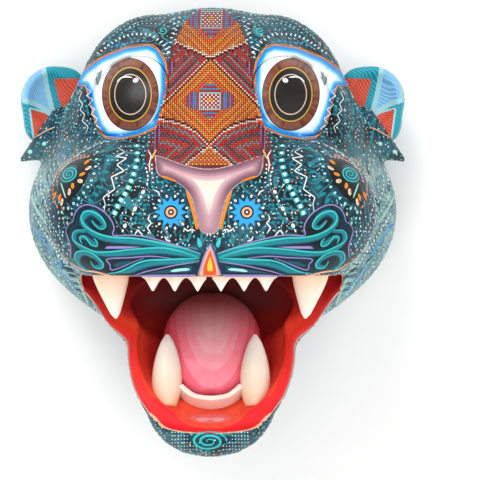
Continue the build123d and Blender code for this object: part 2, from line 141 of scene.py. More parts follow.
rimRun = mouth["lowerLip"][0] - mouth["cornerDepth"]
rimFall = mouth["lipZ"] - mouth["lowerLip"][1]
rimLength = math.hypot(rimRun, rimFall)
rimDrop = math.degrees(math.atan2(rimFall, rimRun))


def onRim(x, along, out):  # the slanting plane of the lower lip's rim
    c, s = rimRun / rimLength, rimFall / rimLength
    return (x, mouth["cornerDepth"] + along * c + out * s, mouth["lipZ"] - along * s + out * c)


def rimTerms(p):
    c, s = rimRun / rimLength, rimFall / rimLength
    d, z = p[1] - mouth["cornerDepth"], p[2] - mouth["lipZ"]
    return d * c - z * s, d * s + z * c


def rimReach(x, z):  # how far down the jaw's outside the red of the lip is carried
    return (8 * np.clip((np.abs(x) - 30) / 14, 0, 1) * np.clip((-z - 34) / 14, 0, 1)
            * np.clip((z + 126) / 14, 0, 1))


def mouthDistance(p, wall=0):
    grown = lambda half: [h + wall for h in half]
    air = eggDistance(p, grown(mouth["bowl"]["half"]), onRim(0, mouth["bowl"]["along"], 0), drop=rimDrop)
    air = melt(air, eggDistance(p, grown(mouth["throat"]["half"]), mouth["throat"]["at"]), 6)
    air = melt(air, eggDistance(p, grown(mouth["palate"]["half"]), mouth["palate"]["at"]), 4)
    if wall:
        return air
    c, s = rimRun / rimLength, rimFall / rimLength
    inFront = -((p[1] - mouth["cornerDepth"]) * s + (p[2] - mouth["lipZ"]) * c)
    wedge = cut(inFront, mouth["lipZ"] - p[2], 3)
    sag = 0.0015 * p[0] ** 2 + 9e-7 * p[0] ** 4
    wedge = cut(wedge, p[2] - mouth["lowerLip"][1] - sag, 4)
    wedge = cut(wedge, mouth["halfWidth"] - np.abs(p[0]), 3)
    return melt(air, wedge, 2)


def hollowDistance(p):
    room = barrelDistance(p, hollow)
    return cut(room, mouthDistance(p, hollow["mouthWall"]), 5)


def pocketDistance(p):
    middle = (pocket["low"] + pocket["high"]) / 2
    up = np.abs(p[2] - middle) - (pocket["high"] - pocket["low"]) / 2
    return np.maximum(np.maximum(np.abs(p[0]) - pocket["halfWidth"], up), p[1] - pocket["depth"])


# the eye's axis is square to the skull's dome
half = head["skull"]["half"]
across, rise = eye["x"] / half[0], (eye["z"] - head["skull"]["z"]) / half[2]
out = math.sqrt(1 - across ** 2 - rise ** 2)
eyeAxis = np.array([across / half[0], out / half[1], rise / half[2]])
eyeAxis /= np.linalg.norm(eyeAxis)
eyeSeat = np.array([eye["x"], head["skull"]["barrel"] + half[1] * out, eye["z"]])


def eyeTerms(p):
    x, d, z = np.abs(p[0]) - eyeSeat[0], p[1] - eyeSeat[1], p[2] - eyeSeat[2]
    along = x * eyeAxis[0] + d * eyeAxis[1] + z * eyeAxis[2]
    reach = np.sqrt(np.maximum(x * x + d * d + z * z - along * along, 0))
    return along, reach


def eyeDistance(p, grow=0):
    along, reach = eyeTerms(p)
    dome = np.sqrt(reach ** 2 + (along - eye["crown"] + eye["domeRadius"]) ** 2) - eye["domeRadius"]
    plug = np.maximum(reach - eye["radius"] - grow, -eye["plug"] - along)
    return plug if grow else np.maximum(plug, dome)


def earTerms(p):
    rootX = half[0] * math.sqrt(1 - ((ear["z"] - head["skull"]["z"]) / half[2]) ** 2)
    a = math.radians(ear["turn"])
    x, d = np.abs(p[0]) - rootX, p[1] - ear["depth"]
    return x * math.cos(a) + d * math.sin(a), d * math.cos(a) - x * math.sin(a), p[2] - ear["z"]


def earDistance(p):
    u, w, v = earTerms(p)
    flap = eggDistance((u, w * 0, v), (25, 1, 26), (14, 0, 5))
    flap = melt(flap, eggDistance((u, w * 0, v), (12, 1, 13), (24, 0, -15)), 8)
    flap = melt(flap, eggDistance((u, w * 0, v), (14, 1, 22), (2, 0, 6)), 8)
    flap = cut(flap, u + ear["tenon"], 1)
    board = -melt(-flap, ear["thickness"] / 2 - np.abs(w), 5)
    dish = eggDistance((u, w, v), (18, 8, 20), (16, ear["thickness"] / 2 + 1.5, 5))
    return cut(board, dish, 3)


def headDistance(p):
    s = bulkDistance(p)
    s = cut(s, eyeDistance(p, 0.4), 1.2)
    s = cut(s, mouthDistance(p), 2)
    s = cut(s, hollowDistance(p), 1.5)
    s = np.maximum(s, -pocketDistance(p))
    return np.maximum(s, -p[1])


# ---- meshes


def meshOfDistance(name, distance, low, high, voxel):
    axes = [np.arange(a, b + voxel, voxel, dtype=np.float32) for a, b in zip(low, high)]
    p = (axes[0][:, None, None], axes[1][None, :, None], axes[2][None, None, :])
    shape = [len(a) for a in axes]
    field = np.broadcast_to(np.clip(distance(p) / voxel, -3, 3), shape).astype(np.float32)
    grid = openvdb.FloatGrid(3.0)
    grid.copyFromArray(field)
    points, triangles, quads = grid.convertToPolygons(isovalue=0.0, adaptivity=0.0)
    return makeMesh(name, points * voxel + np.array(low), quads[:, ::-1])


def makeMesh(name, points, faces, smooth=True):
    points = np.asarray(points, float)
    flat = np.stack([points[:, 0], -points[:, 1], points[:, 2]], axis=1) * mm
    mesh = bpy.data.meshes.new(name)
    if isinstance(faces, list):
        mesh.from_pydata([tuple(p) for p in flat], [], faces)
    else:
        sides = faces.shape[1]
        mesh.vertices.add(len(flat))
        mesh.vertices.foreach_set("co", flat.ravel())
        mesh.loops.add(faces.size)
        mesh.loops.foreach_set("vertex_index", faces.ravel())
        mesh.polygons.add(len(faces))
        mesh.polygons.foreach_set("loop_start", np.arange(0, faces.size, sides))
        mesh.update(calc_edges=True)
        mesh.validate()
    mesh.polygons.foreach_set("use_smooth", np.full(len(mesh.polygons), smooth))
    piece = bpy.data.objects.new(name, mesh)
    bpy.context.scene.collection.objects.link(piece)
    return piece


def pointsOf(piece):
    flat = np.zeros(len(piece.data.vertices) * 3)
    piece.data.vertices.foreach_get("co", flat)
    flat = flat.reshape(-1, 3) / mm
    return flat[:, 0], -flat[:, 1], flat[:, 2]


def setField(piece, name, values):
    field = piece.data.attributes.new(name, "FLOAT", "POINT")
    field.data.foreach_set("value", np.asarray(values, np.float32))


def settle(piece, nodes, body="mask"):
    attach(piece, body)
    if nodes:
        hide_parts(*nodes)


# ---- materials


def linear(hexText):
    values = [int(hexText[i:i + 2], 16) / 255 for i in (1, 3, 5)]
    return [v / 12.92 if v <= 0.04045 else ((v + 0.055) / 1.055) ** 2.4 for v in values] + [1]


def newMaterial(name):
    material = bpy.data.materials.new(name)
    material.use_nodes = True
    tree = material.node_tree
    return material, tree, tree.nodes["Principled BSDF"]


def add(tree, kind, inputs={}, stops=None, **settings):
    # one node: its settings, its inputs as values, hex colours or the sockets that feed them, its ramp
    node = tree.nodes.new(kind)
    for key, value in settings.items():
        setattr(node, key, value)
    free = [s for s in node.inputs if s.enabled]
    for key, value in inputs.items():
        socket = free[key] if isinstance(key, int) else next(s for s in free if s.name == key)
        if isinstance(value, bpy.types.NodeSocket):
            tree.links.new(value, socket)
        else:
            socket.default_value = linear(value) if isinstance(value, str) else value
    if stops:
        marks = node.color_ramp.elements
        for place, colour in stops[1:-1]:
            marks.new(place)
        marks[0].position, marks[-1].position = stops[0][0], stops[-1][0]
        for mark, (place, colour) in zip(marks, stops):
            mark.color = linear(colour)
    return next(s for s in node.outputs if s.enabled)


def brushMarks(tree, shader, place, size, strength, roughness):
    # fine brush and sanding marks in the film, and a sheen that varies with how thick it lies
    grain = add(tree, "ShaderNodeTexNoise", {"Vector": place, "Scale": 1 / (size * mm), "Detail": 3.0})
    bump = add(tree, "ShaderNodeBump", {"Height": grain, "Strength": strength, "Distance": 0.1 * mm})
    sheen = add(tree, "ShaderNodeMapRange", {"Value": grain, "To Min": roughness - 0.08,
                                             "To Max": roughness + 0.1})
    tree.links.new(bump, shader.inputs["Normal"])
    tree.links.new(sheen, shader.inputs["Roughness"])


# acrylic paint laid on with a fine brush: flat colour, a soft satin sheen and faint brush marks
palette = {
    "white": "#f1f6f4", "cream": "#f7dcb4", "peach": "#efaf88", "orange": "#f08a24", "rust": "#e2532a",
    "red": "#cf2f2b", "maroon": "#6d1c1f", "yellow": "#f2c545", "azure": "#2a9fe4",
    "deep": "#0d4f63", "teal": "#11808c", "turquoise": "#35c3c0",
    "aqua": "#a6e4de", "lilac": "#9a86c4", "black": "#0b0e12", "grey": "#7f8f92",
    "brown": "#5a2a1c", "mint": "#9dc3bb", "bloom": "#4f97cc",
}
paints = {}


def paint(colour):
    if colour not in paints:
        material, tree, shader = newMaterial("paint" + colour.capitalize())
        shader.inputs["Base Color"].default_value = linear(palette[colour])
        shader.inputs["Specular IOR Level"].default_value = 0.25
        place = add(tree, "ShaderNodeTexCoord").node.outputs["Object"]
        brushMarks(tree, shader, place, 0.8, 0.3, 0.36)
        paints[colour] = material
    return paints[colour]


# ---- seen from the front: the painter's layout is drawn on a plane 100 mm out from the wall, as it
# looks from a spot 1.3 m in front of the wall, and carried along those sight lines to the carving
sight = {"x": 21, "depth": 1300, "plane": 100}


def seenAt(p):
    share = (sight["depth"] - sight["plane"]) / (sight["depth"] - p[1])
    return sight["x"] + (p[0] - sight["x"]) * share, p[2] * share


def outlineDistance(u, v, outline):  # positive inside the outline
    inside = np.zeros(u.shape, bool)
    best = np.full(u.shape, 1e9)
    for (u0, v0), (u1, v1) in zip(outline, outline[1:] + outline[:1]):
        du, dv = u1 - u0, v1 - v0
        t = np.clip(((u - u0) * du + (v - v0) * dv) / max(du * du + dv * dv, 1e-9), 0, 1)
        best = np.minimum(best, np.hypot(u - u0 - t * du, v - v0 - t * dv))
        crosses = ((v0 > v) != (v1 > v)) & (u < du * (v - v0) / (dv if dv else 1e-9) + u0)
        inside ^= crosses
    return np.where(inside, best, -best)


def rounded(points, closed=True, steps=6):  # a smooth curve through the points
    count = len(points)
    spans = count if closed else count - 1
    curve = []
    for i in range(spans):
        if closed:
            a, b, c, d = (points[(i + k - 1) % count] for k in range(4))
        else:
            a, b, c, d = (points[min(max(i + k - 1, 0), count - 1)] for k in range(4))
        for k in range(steps):
            t = k / steps
            curve.append(tuple(
                0.5 * (2 * b[j] + (c[j] - a[j]) * t + (2 * a[j] - 5 * b[j] + 4 * c[j] - d[j]) * t * t
                       + (3 * b[j] - a[j] - 3 * c[j] + d[j]) * t ** 3) for j in range(2)))
    return curve if closed else curve + [points[-1]]


eyeOutline = [(-103, 113.5), (-95, 125), (-82.5, 134.5), (-64, 142), (-47, 144.5), (-39.5, 141),
              (-33.5, 130), (-33.5, 110.5),
              (-36, 96), (-40.5, 83.5), (-53, 77.5), (-67.5, 74.5), (-78.5, 76), (-84.5, 84), (-89, 97.5),
              (-93.5, 113.5)]
irisMiddle, irisHalf = (-60, 107.5), (21.05, 26.96)
noseOutline = rounded([(-41.5, 60.5), (-39.5, 62.5), (-19.5, 55.5), (-1, 52.5), (21, 54.5), (40, 60.5),
                       (43, 57.5),
                       (40, 49.5), (28.5, 44.5), (17.5, 38.5), (12, 31), (8.5, 18.5), (5.5, 7.5), (-1, 4.5),
                       (-8, 6.5), (-11.5, 18.5), (-15, 31), (-21, 39), (-30.5, 45), (-39.5, 48.5)])
scrollOutline = rounded([(-107.5, 6.5), (-106.5, 9.5), (-104.5, 12.5), (-102.5, 14), (-101, 19),
                         (-98, 23.5), (-92.5, 26),
                         (-85.5, 24.5), (-78.5, 20), (-74, 14.5), (-72, 9), (-70.5, 3.5), (-53, 3),
                         (-41.5, 0.5),
                         (-30.5, -2.5), (-19.5, -6), (-8, -9.5), (-10, -26.5), (-45.5, -27.5), (-60, -26.5),
                         (-76.5, -24.5),
                         (-95.5, -20.5), (-103, -13.5), (-104, -4.5), (-106, 1.5)])


def bridgeHalf(v):  # half the width of the beaded band down the face, by height
    return np.interp(v, (53.9, 62.7, 81.2, 103.3, 121.8, 144, 158.7, 169.8, 176),
                     (43, 43.6, 41.4, 35.8, 33.2, 27.7, 21.4, 11, 3))


# ---- the head


def setFaceFields(piece):  # where each painted zone lies, as 0 to 1 fields on the mesh
    x, depth, z = pointsOf(piece)
    x = -np.abs(x)
    u, v = seenAt((x, depth, z))
    front = depth > 62
    zone = lambda outline, reach: np.where(front, np.clip(outlineDistance(u, v, outline) / reach, 0, 1), 0)
    setField(piece, "eyeIn", zone(eyeOutline, 20))
    return x, depth, z, u, v, front, zone


headPiece = meshOfDistance("carvedHead", headDistance, (-156, -4, -162), (156, 216, 184), head["voxel"])
x, depth, z, u, v, front, zone = setFaceFields(headPiece)
p = (x, depth, z)
setField(headPiece, "noseIn", np.where(depth > 140, zone(noseOutline, 20), 0))
setField(headPiece, "scrollIn", np.where(depth > 90, zone(scrollOutline, 20), 0))
band = np.clip((bridgeHalf(v) - np.abs(x)) / 20, 0, 1)
setField(headPiece, "bridgeIn", np.where(front & (v > 52) & (v < 176) & (depth > 80), band, 0))
inMouth = (np.abs(mouthDistance(p)) < 1.6) & (z < 2)
rimOut = rimTerms(p)[1]
bulk = bulkDistance(p)
reach = rimReach(x, z)
jawSkin = (bulk > -1.3) & (depth > 80) & (reach > 0.3)
under = np.where(inMouth, np.clip(-bulk, 0, 70) + reach, np.where(jawSkin, np.clip(rimOut + reach, 0, 20), 0))
setField(headPiece, "lipIn", under / 80)
setField(headPiece, "gumFront", np.clip((depth - 108) / 40, 0, 1) * np.clip((-z - 60) / 25, 0, 1))
# painted shade: 1 far back in the mouth by the throat, where the red is painted darker for the shade under
# the upper jaw
setField(headPiece, "throat", np.clip((108 - depth) / 45, 0, 1) * np.clip((z + 92) / 45, 0, 1))
inHollow = ((np.abs(hollowDistance(p)) < 1.6) & ~inMouth) | (depth < 1.2) | (np.abs(pocketDistance(p)) < 1.4)
setField(headPiece, "bare", inHollow.astype(float))
setField(headPiece, "jowl", np.clip((-x - 78) / 26, 0, 1) * np.clip((78 - z) / 30, 0, 1)
         * np.clip((150 - depth) / 30, 0, 1))
settle(headPiece, ["head"])
print("head carved:", len(headPiece.data.polygons), "faces")

# carved wood under acrylic paint: a near-black teal ground with wavy bands of blue and grey-teal
# brushwork and fine flecks, a soft satin sheen; red lacquer in the mouth, darkened towards the throat as
# painted shade, bare wood at the back
paintedWood, tree, shader = newMaterial("acrylicOnCarvedWood")
place = add(tree, "ShaderNodeTexCoord").node.outputs["Object"]
drift = add(tree, "ShaderNodeTexNoise", {"Vector": place, "Scale": 1 / (26 * mm), "Detail": 2.0})
ground = add(tree, "ShaderNodeValToRGB", {"Fac": drift}, [
    (0.32, "#070d12"), (0.43, "#0a2230"), (0.5, "#0f465a"), (0.57, "#0c1c26"), (0.66, "#24505c"),
    (0.76, "#3d5d66")])
waver = add(tree, "ShaderNodeTexNoise", {"Vector": place, "Scale": 1 / (30 * mm), "Detail": 1.0,
                                         "Distortion": 0.6})
rows = add(tree, "ShaderNodeMath", {0: waver, 1: 0.045}, operation="PINGPONG")
thin = add(tree, "ShaderNodeMath", {0: rows, 1: 0.036}, operation="GREATER_THAN")
ground = add(tree, "ShaderNodeMix", {"Factor": thin, "A": ground, "B": "#2f7480"}, data_type="RGBA")
flecks = add(tree, "ShaderNodeTexVoronoi", {"Vector": place, "Scale": 1 / (3.6 * mm), "Randomness": 0.7})
tint = add(tree, "ShaderNodeSeparateColor", {"Color": flecks.node.outputs["Color"]})
fleckPaint = add(tree, "ShaderNodeValToRGB", {"Fac": tint}, [
    (0.0, "#e9f4f2"), (0.3, "#1b93a0"), (0.5, "#5ec9c9"), (0.66, "#0f5f77"), (0.84, "#dfe9e6"),
    (0.97, "#e98a3a")])
fleckPaint.node.color_ramp.interpolation = "CONSTANT"
small = add(tree, "ShaderNodeMath", {0: flecks, 1: 0.17}, operation="LESS_THAN")
pale = add(tree, "ShaderNodeAttribute", attribute_name="jowl").node.outputs["Fac"]
palePaint = add(tree, "ShaderNodeValToRGB", {"Fac": drift}, [
    (0.3, "#4c6a70"), (0.42, "#8fb0b0"), (0.5, "#6f9aa2"), (0.58, "#a9c6c0"), (0.7, "#4f93b8")])
palePaint = add(tree, "ShaderNodeMix", {"Factor": thin, "A": palePaint, "B": "#2c4046"}, data_type="RGBA")
paleShare = add(tree, "ShaderNodeMath", {0: pale, 1: 0.8}, operation="MULTIPLY")
ground = add(tree, "ShaderNodeMix", {"Factor": paleShare, "A": ground, "B": palePaint}, data_type="RGBA")
ground = add(tree, "ShaderNodeMix", {"Factor": small, "A": ground, "B": fleckPaint}, data_type="RGBA")


def zoneOver(tree, name, edge, under, over):  # paint one zone over what is there, inside its edge
    reading = add(tree, "ShaderNodeAttribute", attribute_name=name).node.outputs["Fac"]
    inside = add(tree, "ShaderNodeMath", {0: reading, 1: edge}, operation="GREATER_THAN")
    return add(tree, "ShaderNodeMix", {"Factor": inside, "A": under, "B": over}, data_type="RGBA")


def zoneBands(tree, name, bands):  # crisp bands of paint that follow a zone's edge inwards
    reading = add(tree, "ShaderNodeAttribute", attribute_name=name).node.outputs["Fac"]
    node = add(tree, "ShaderNodeValToRGB", {"Fac": reading}, bands)
    node.node.color_ramp.interpolation = "CONSTANT"
    return node


scrollGround = add(tree, "ShaderNodeValToRGB", {"Fac": drift}, [
    (0.38, "#0a161d"), (0.5, "#0c3142"), (0.62, "#0b1e29")])
ground = zoneOver(tree, "scrollIn", 0.01, ground, scrollGround)
ground = zoneOver(tree, "bridgeIn", 0.01, ground, "#5d2226")
noseBands = zoneBands(tree, "noseIn", [(0.0, "#d9b9b4"), (0.025, "#7d5666"), (0.12, "#94697a"),
                                       (0.2, "#b0858f"),
                                       (0.28, "#cfa3ac"), (0.36, "#dfbabd"), (0.44, "#f5ebdc")])
height = add(tree, "ShaderNodeSeparateXYZ", {"Vector": place}).node.outputs["Z"]
stem = add(tree, "ShaderNodeMapRange", {"Value": height, "From Min": 0.034, "From Max": 0.016, "To Max": 0.7})
noseBands = add(tree, "ShaderNodeMix", {"Factor": stem, "A": noseBands, "B": "#b08a92"}, data_type="RGBA")
ground = zoneOver(tree, "noseIn", 0.01, ground, noseBands)
eyeBandStops = [(0.0, "#d9822f"), (0.035, "#0f7fd2"), (0.1, "#1f9be8"), (0.16, "#63c0ef"), (0.2, "#a9def3"),
                (0.24, "#dff5fa"), (0.32, "#fbfefd")]
ground = zoneOver(tree, "eyeIn", 0.01, ground, zoneBands(tree, "eyeIn", eyeBandStops))
lip = add(tree, "ShaderNodeAttribute", attribute_name="lipIn").node.outputs["Fac"]
streaks = add(tree, "ShaderNodeTexNoise", {"Vector": place, "Scale": 1 / (9 * mm), "Detail": 4.0,
                                           "Distortion": 1.2})
# red paint down the sides of the mouth, which runs darker the deeper in it lies: painted shade in the mouth's
# recess
sideGumWithShade = add(tree, "ShaderNodeValToRGB", {"Fac": lip}, [
    (0.0, "#c9141c"), (0.09, "#d31a1e"), (0.14, "#ea3a2a"), (0.22, "#f04a30"), (0.3, "#c02a22"),
    (0.5, "#7e1c1a"), (0.9, "#3a0f0d")])
frontGum = zoneBands(tree, "lipIn", [(0.0, "#e3232a"), (0.1, "#f5272e"), (0.17, "#fb4a34"), (0.25, "#ff6446"),
                                     (0.31, "#fb7a80"), (0.36, "#ffb3b6"), (0.42, "#fce5e2")])
frontShare = add(tree, "ShaderNodeAttribute", attribute_name="gumFront").node.outputs["Fac"]
gum = add(tree, "ShaderNodeMix", {"Factor": frontShare, "A": sideGumWithShade, "B": frontGum}, data_type="RGBA")
streaked = add(tree, "ShaderNodeMix", {"Factor": 0.35, "A": gum, "B": streaks}, data_type="RGBA",
               blend_type="OVERLAY")
# painted shade: gum and palate run to dark maroon towards the throat, standing in for the shade that falls
# there
throatShadeShare = add(tree, "ShaderNodeAttribute", attribute_name="throat").node.outputs["Fac"]
gum = add(tree, "ShaderNodeMix", {"Factor": throatShadeShare, "A": streaked, "B": "#5c1a1a"}, data_type="RGBA")
ground = zoneOver(tree, "lipIn", 0.008, ground, "#efb592")
ground = zoneOver(tree, "lipIn", 0.03, ground, gum)
grainPlace = add(tree, "ShaderNodeMapping", {"Vector": place, "Scale": (1, 1, 0.12)})
grain = add(tree, "ShaderNodeTexNoise", {"Vector": grainPlace, "Scale": 1 / (3 * mm), "Detail": 4.0})
bareWood = add(tree, "ShaderNodeValToRGB", {"Fac": grain}, [
    (0.3, "#c39a69"), (0.5, "#dcba8a"), (0.7, "#ecd2a8")])
ground = zoneOver(tree, "bare", 0.5, ground, bareWood)
tree.links.new(ground, shader.inputs["Base Color"])
shader.inputs["Specular IOR Level"].default_value = 0.22
brushMarks(tree, shader, place, 1.4, 0.35, 0.42)
headPiece.data.materials.append(paintedWood)


# ---- eyes

eyePiece = {}
for side, sign in (("Right", 1), ("Left", -1)):
    low = (min(25 * sign, 100 * sign), 90, 65)
    high = (max(25 * sign, 100 * sign), 170, 145)
    piece = meshOfDistance("eye" + side, eyeDistance, low, high, 0.8)
    eu, ev, efront = setFaceFields(piece)[3:6]
    # the iris sits in the painted white, a little towards the nose
    reach = np.hypot((eu - irisMiddle[0]) / irisHalf[0], (ev - irisMiddle[1]) / irisHalf[1])
    setField(piece, "iris", np.where(efront, np.clip(reach / 2, 0, 1), 1))
    setField(piece, "irisTurn", np.arctan2(ev - irisMiddle[1], eu - irisMiddle[0]) / 6.2832 + 0.5)
    settle(piece, ["eye_" + side.lower()])
    eyePiece[side] = piece
print("eyes set")

# gloss enamel over painted wood: clear coat, deep brown iris with radial streaks, thin gold ring
eyeEnamel, tree, shader = newMaterial("glossEnamel")
place = add(tree, "ShaderNodeTexCoord").node.outputs["Object"]
white = zoneOver(tree, "eyeIn", 0.01, "#0d2430", zoneBands(tree, "eyeIn", eyeBandStops))
turn = add(tree, "ShaderNodeAttribute", attribute_name="irisTurn").node.outputs["Fac"]
reach = add(tree, "ShaderNodeAttribute", attribute_name="iris").node.outputs["Fac"]
polar = add(tree, "ShaderNodeCombineXYZ", {"X": turn, "Y": reach})
polarPlace = add(tree, "ShaderNodeMapping", {"Vector": polar, "Scale": (40, 3, 1)})
rays = add(tree, "ShaderNodeTexNoise", {"Vector": polarPlace, "Scale": 1.0, "Detail": 3.0})
irisPaint = add(tree, "ShaderNodeValToRGB", {"Fac": rays}, [
    (0.3, "#471c12"), (0.45, "#6f3220"), (0.55, "#8a452a"), (0.68, "#5e4a44"), (0.8, "#a8642f")])
rings = add(tree, "ShaderNodeValToRGB", {"Fac": reach}, [
    (0.0, "#15100f"), (0.262, "#d9b9a6"), (0.278, "#14100e"), (0.358, "#c79a38"), (0.378, "#3a1a12"),
    (0.39, "#5d2c1d"), (0.48, "#38160f"), (0.498, "#1c0d0a")])
rings.node.color_ramp.interpolation = "CONSTANT"
inIris = add(tree, "ShaderNodeMath", {0: reach, 1: 0.39}, operation="GREATER_THAN")
inRim = add(tree, "ShaderNodeMath", {0: reach, 1: 0.485}, operation="LESS_THAN")
irisOnly = add(tree, "ShaderNodeMath", {0: inIris, 1: inRim}, operation="MULTIPLY")
rings = add(tree, "ShaderNodeMix", {"Factor": irisOnly, "A": rings, "B": irisPaint}, data_type="RGBA")
inside = add(tree, "ShaderNodeMath", {0: reach, 1: 0.5}, operation="LESS_THAN")
colour = add(tree, "ShaderNodeMix", {"Factor": inside, "A": white, "B": rings}, data_type="RGBA")
tree.links.new(colour, shader.inputs["Base Color"])
shader.inputs["Specular IOR Level"].default_value = 0.3
shader.inputs["Coat Weight"].default_value = 0.12
shader.inputs["Coat Roughness"].default_value = 0.22
brushMarks(tree, shader, place, 2.0, 0.1, 0.36)
for piece in eyePiece.values():
    piece.data.materials.append(eyeEnamel)


# ---- ears

earBlue = [(-137, 115), (-133.5, 122), (-126, 127.5), (-123, 110.5), (-119.5, 96.5), (-129.5, 102),
           (-138.5, 105)]
earRed = [(-116.5, 119), (-95.5, 119.5), (-101.5, 103.5), (-109, 93), (-112.5, 103.5)]
earRedLow = [(-133.5, 96.5), (-123, 93.5), (-115, 88), (-122, 81), (-130.5, 74), (-132, 85)]
for side, sign in (("Right", 1), ("Left", -1)):
    low = (min(90 * sign, 166 * sign), 22, 62)
    high = (max(90 * sign, 166 * sign), 68, 142)
    piece = meshOfDistance("ear" + side, earDistance, low, high, 1.0)
    ex, ed, ez = pointsOf(piece)
    eu, ev = seenAt((-np.abs(ex), ed, ez))
    facing = earTerms((ex, ed, ez))[1] > 1
    for name, outline in (("earBlue", earBlue), ("earRed", earRed), ("earRedLow", earRedLow)):
        inward = outlineDistance(eu, ev, outline)
        setField(piece, name, np.where(facing, np.clip((inward + 4) / 20, 0, 1), 0))
    settle(piece, ["ear_" + side.lower()])
    if sign == 1:
        # the same acrylic on carved wood, laid in fine comb strokes of teal, blue and red
        earPaint, tree, shader = newMaterial("combedAcrylic")
        place = add(tree, "ShaderNodeTexCoord").node.outputs["Object"]
        comb = add(tree, "ShaderNodeTexWave", {"Vector": place, "Scale": 0.32 / (1.4 * mm), "Distortion": 1.0,
                                               "Detail": 1.0}, bands_direction="DIAGONAL")
        ground = add(tree, "ShaderNodeValToRGB", {"Fac": comb}, [
            (0.2, "#0b8299"), (0.6, "#1196ab"), (0.9, "#3fb3bf")])
        blue = add(tree, "ShaderNodeValToRGB", {"Fac": comb}, [
            (0.2, "#6aaedd"), (0.6, "#7dbbe2"), (0.9, "#9ccbe9")])
        red = add(tree, "ShaderNodeValToRGB", {"Fac": comb}, [
            (0.2, "#c7402f"), (0.6, "#d64c36"), (0.9, "#e2684c")])
        light = "#9fd0d8"
        ground = zoneOver(tree, "earBlue", 0.02, ground, light)
        ground = zoneOver(tree, "earBlue", 0.2, ground, blue)
        ground = zoneOver(tree, "earRed", 0.13, ground, "#1590a0")
        ground = zoneOver(tree, "earRed", 0.2, ground, red)
        ground = zoneOver(tree, "earRedLow", 0.13, ground, light)
        ground = zoneOver(tree, "earRedLow", 0.2, ground, red)
        tree.links.new(ground, shader.inputs["Base Color"])
        shader.inputs["Specular IOR Level"].default_value = 0.25
        brushMarks(tree, shader, place, 1.2, 0.4, 0.42)
    piece.data.materials.append(earPaint)
print("ears set")


# ---- teeth

teeth = {
    "fang": {"foot": (71.5, 141, -20), "tip": (67.5, 140, -56), "flat": 0.85,
             "halfWidths": (13.4, 13.3, 12.7, 11.7, 10.5, 9.2, 7.8, 6.4, 5.0, 3.5, 0.8)},
    "lowerFang": {"x": 32, "along": 103.5, "length": 48, "root": 5, "lean": 15,
                  "halfWidths": (7.0, 8.9, 10.2, 10.9, 11.0, 10.6, 9.8, 8.5, 6.9, 4.8, 1.4)},
    "incisor": {"pitch": 15.9, "drop": 10.4, "arc": 110, "middle": 77.4},
}


def loftTooth(name, foot, tip, halfWidths, flat, bend=0):
    foot, tip = Vector(foot), Vector(tip)
    run = tip - foot
    side = Vector((1, 0, 0))
    side = (side - run * (side.dot(run) / run.length_squared)).normalized()
    deep = run.normalized().cross(side)
    sides, points, faces, along = 28, [], [], []
    rows = 41
    for i in range(rows):
        t = i / (rows - 1)
        t = 1 - (1 - t) ** 1.3
        width = np.interp(t, np.linspace(0, 1, len(halfWidths)), halfWidths)
        middle = foot + run * t + deep * (bend * math.sin(math.pi * t))
        for k in range(sides):
            a = 2 * math.pi * k / sides
            points.append(middle + side * (width * math.cos(a)) + deep * (width * flat * math.sin(a)))
            along.append(t)
    for i in range(rows - 1):
        for k in range(sides):
            n = (k + 1) % sides
            faces.append((i * sides + k, (i + 1) * sides + k, (i + 1) * sides + n, i * sides + n))
    faces.append(tuple(range(sides)))
    faces.append(tuple(reversed(range((rows - 1) * sides, rows * sides))))
    piece = makeMesh(name, [tuple(q) for q in points], faces)
    setField(piece, "along", along)
    return piece


# tooth paint: warm ivory near the gum running to clean white, smooth and a little glossy
toothPaint, tree, shader = newMaterial("ivoryEnamelPaint")
place = add(tree, "ShaderNodeTexCoord").node.outputs["Object"]
along = add(tree, "ShaderNodeAttribute", attribute_name="along").node.outputs["Fac"]
mottle = add(tree, "ShaderNodeTexNoise", {"Vector": place, "Scale": 1 / (10 * mm), "Detail": 3.0})
wander = add(tree, "ShaderNodeMath", {0: mottle, 1: 0.25, 2: along}, operation="MULTIPLY_ADD")
colour = add(tree, "ShaderNodeValToRGB", {"Fac": wander}, [
    (0.12, "#ebcba4"), (0.34, "#f2dec0"), (0.6, "#f6e8d2"), (0.95, "#f8f2e6")])
tree.links.new(colour, shader.inputs["Base Color"])
shader.inputs["Coat Weight"].default_value = 0.25
shader.inputs["Coat Roughness"].default_value = 0.15
brushMarks(tree, shader, place, 2.2, 0.15, 0.34)

bowl = mouth["bowl"]
for side, sign in (("right", 1), ("left", -1)):
    form = teeth["fang"]
    foot, tip = [(sign * q[0], q[1], q[2]) for q in (form["foot"], form["tip"])]
    piece = loftTooth("upperFang" + side.capitalize(), foot, tip, form["halfWidths"], form["flat"])
    settle(piece, ["upper_fang_" + side])
    piece.data.materials.append(toothPaint)
    form = teeth["lowerFang"]
    floor = -bowl["half"][2] * math.sqrt(max(0, 1 - (form["x"] / bowl["half"][0]) ** 2
                                             - ((form["along"] - bowl["along"]) / bowl["half"][1]) ** 2))
    foot = onRim(sign * form["x"], form["along"], floor)
    lean = math.radians(form["lean"])
    up = lambda s: (foot[0], foot[1] - s * math.sin(lean), foot[2] + s * math.cos(lean))
    piece = loftTooth("lowerFang" + side.capitalize(), up(-form["root"]), up(form["length"]),
                      form["halfWidths"], 0.9, bend=-2)
    settle(piece, ["lower_fang_" + side])
    piece.data.materials.append(toothPaint)


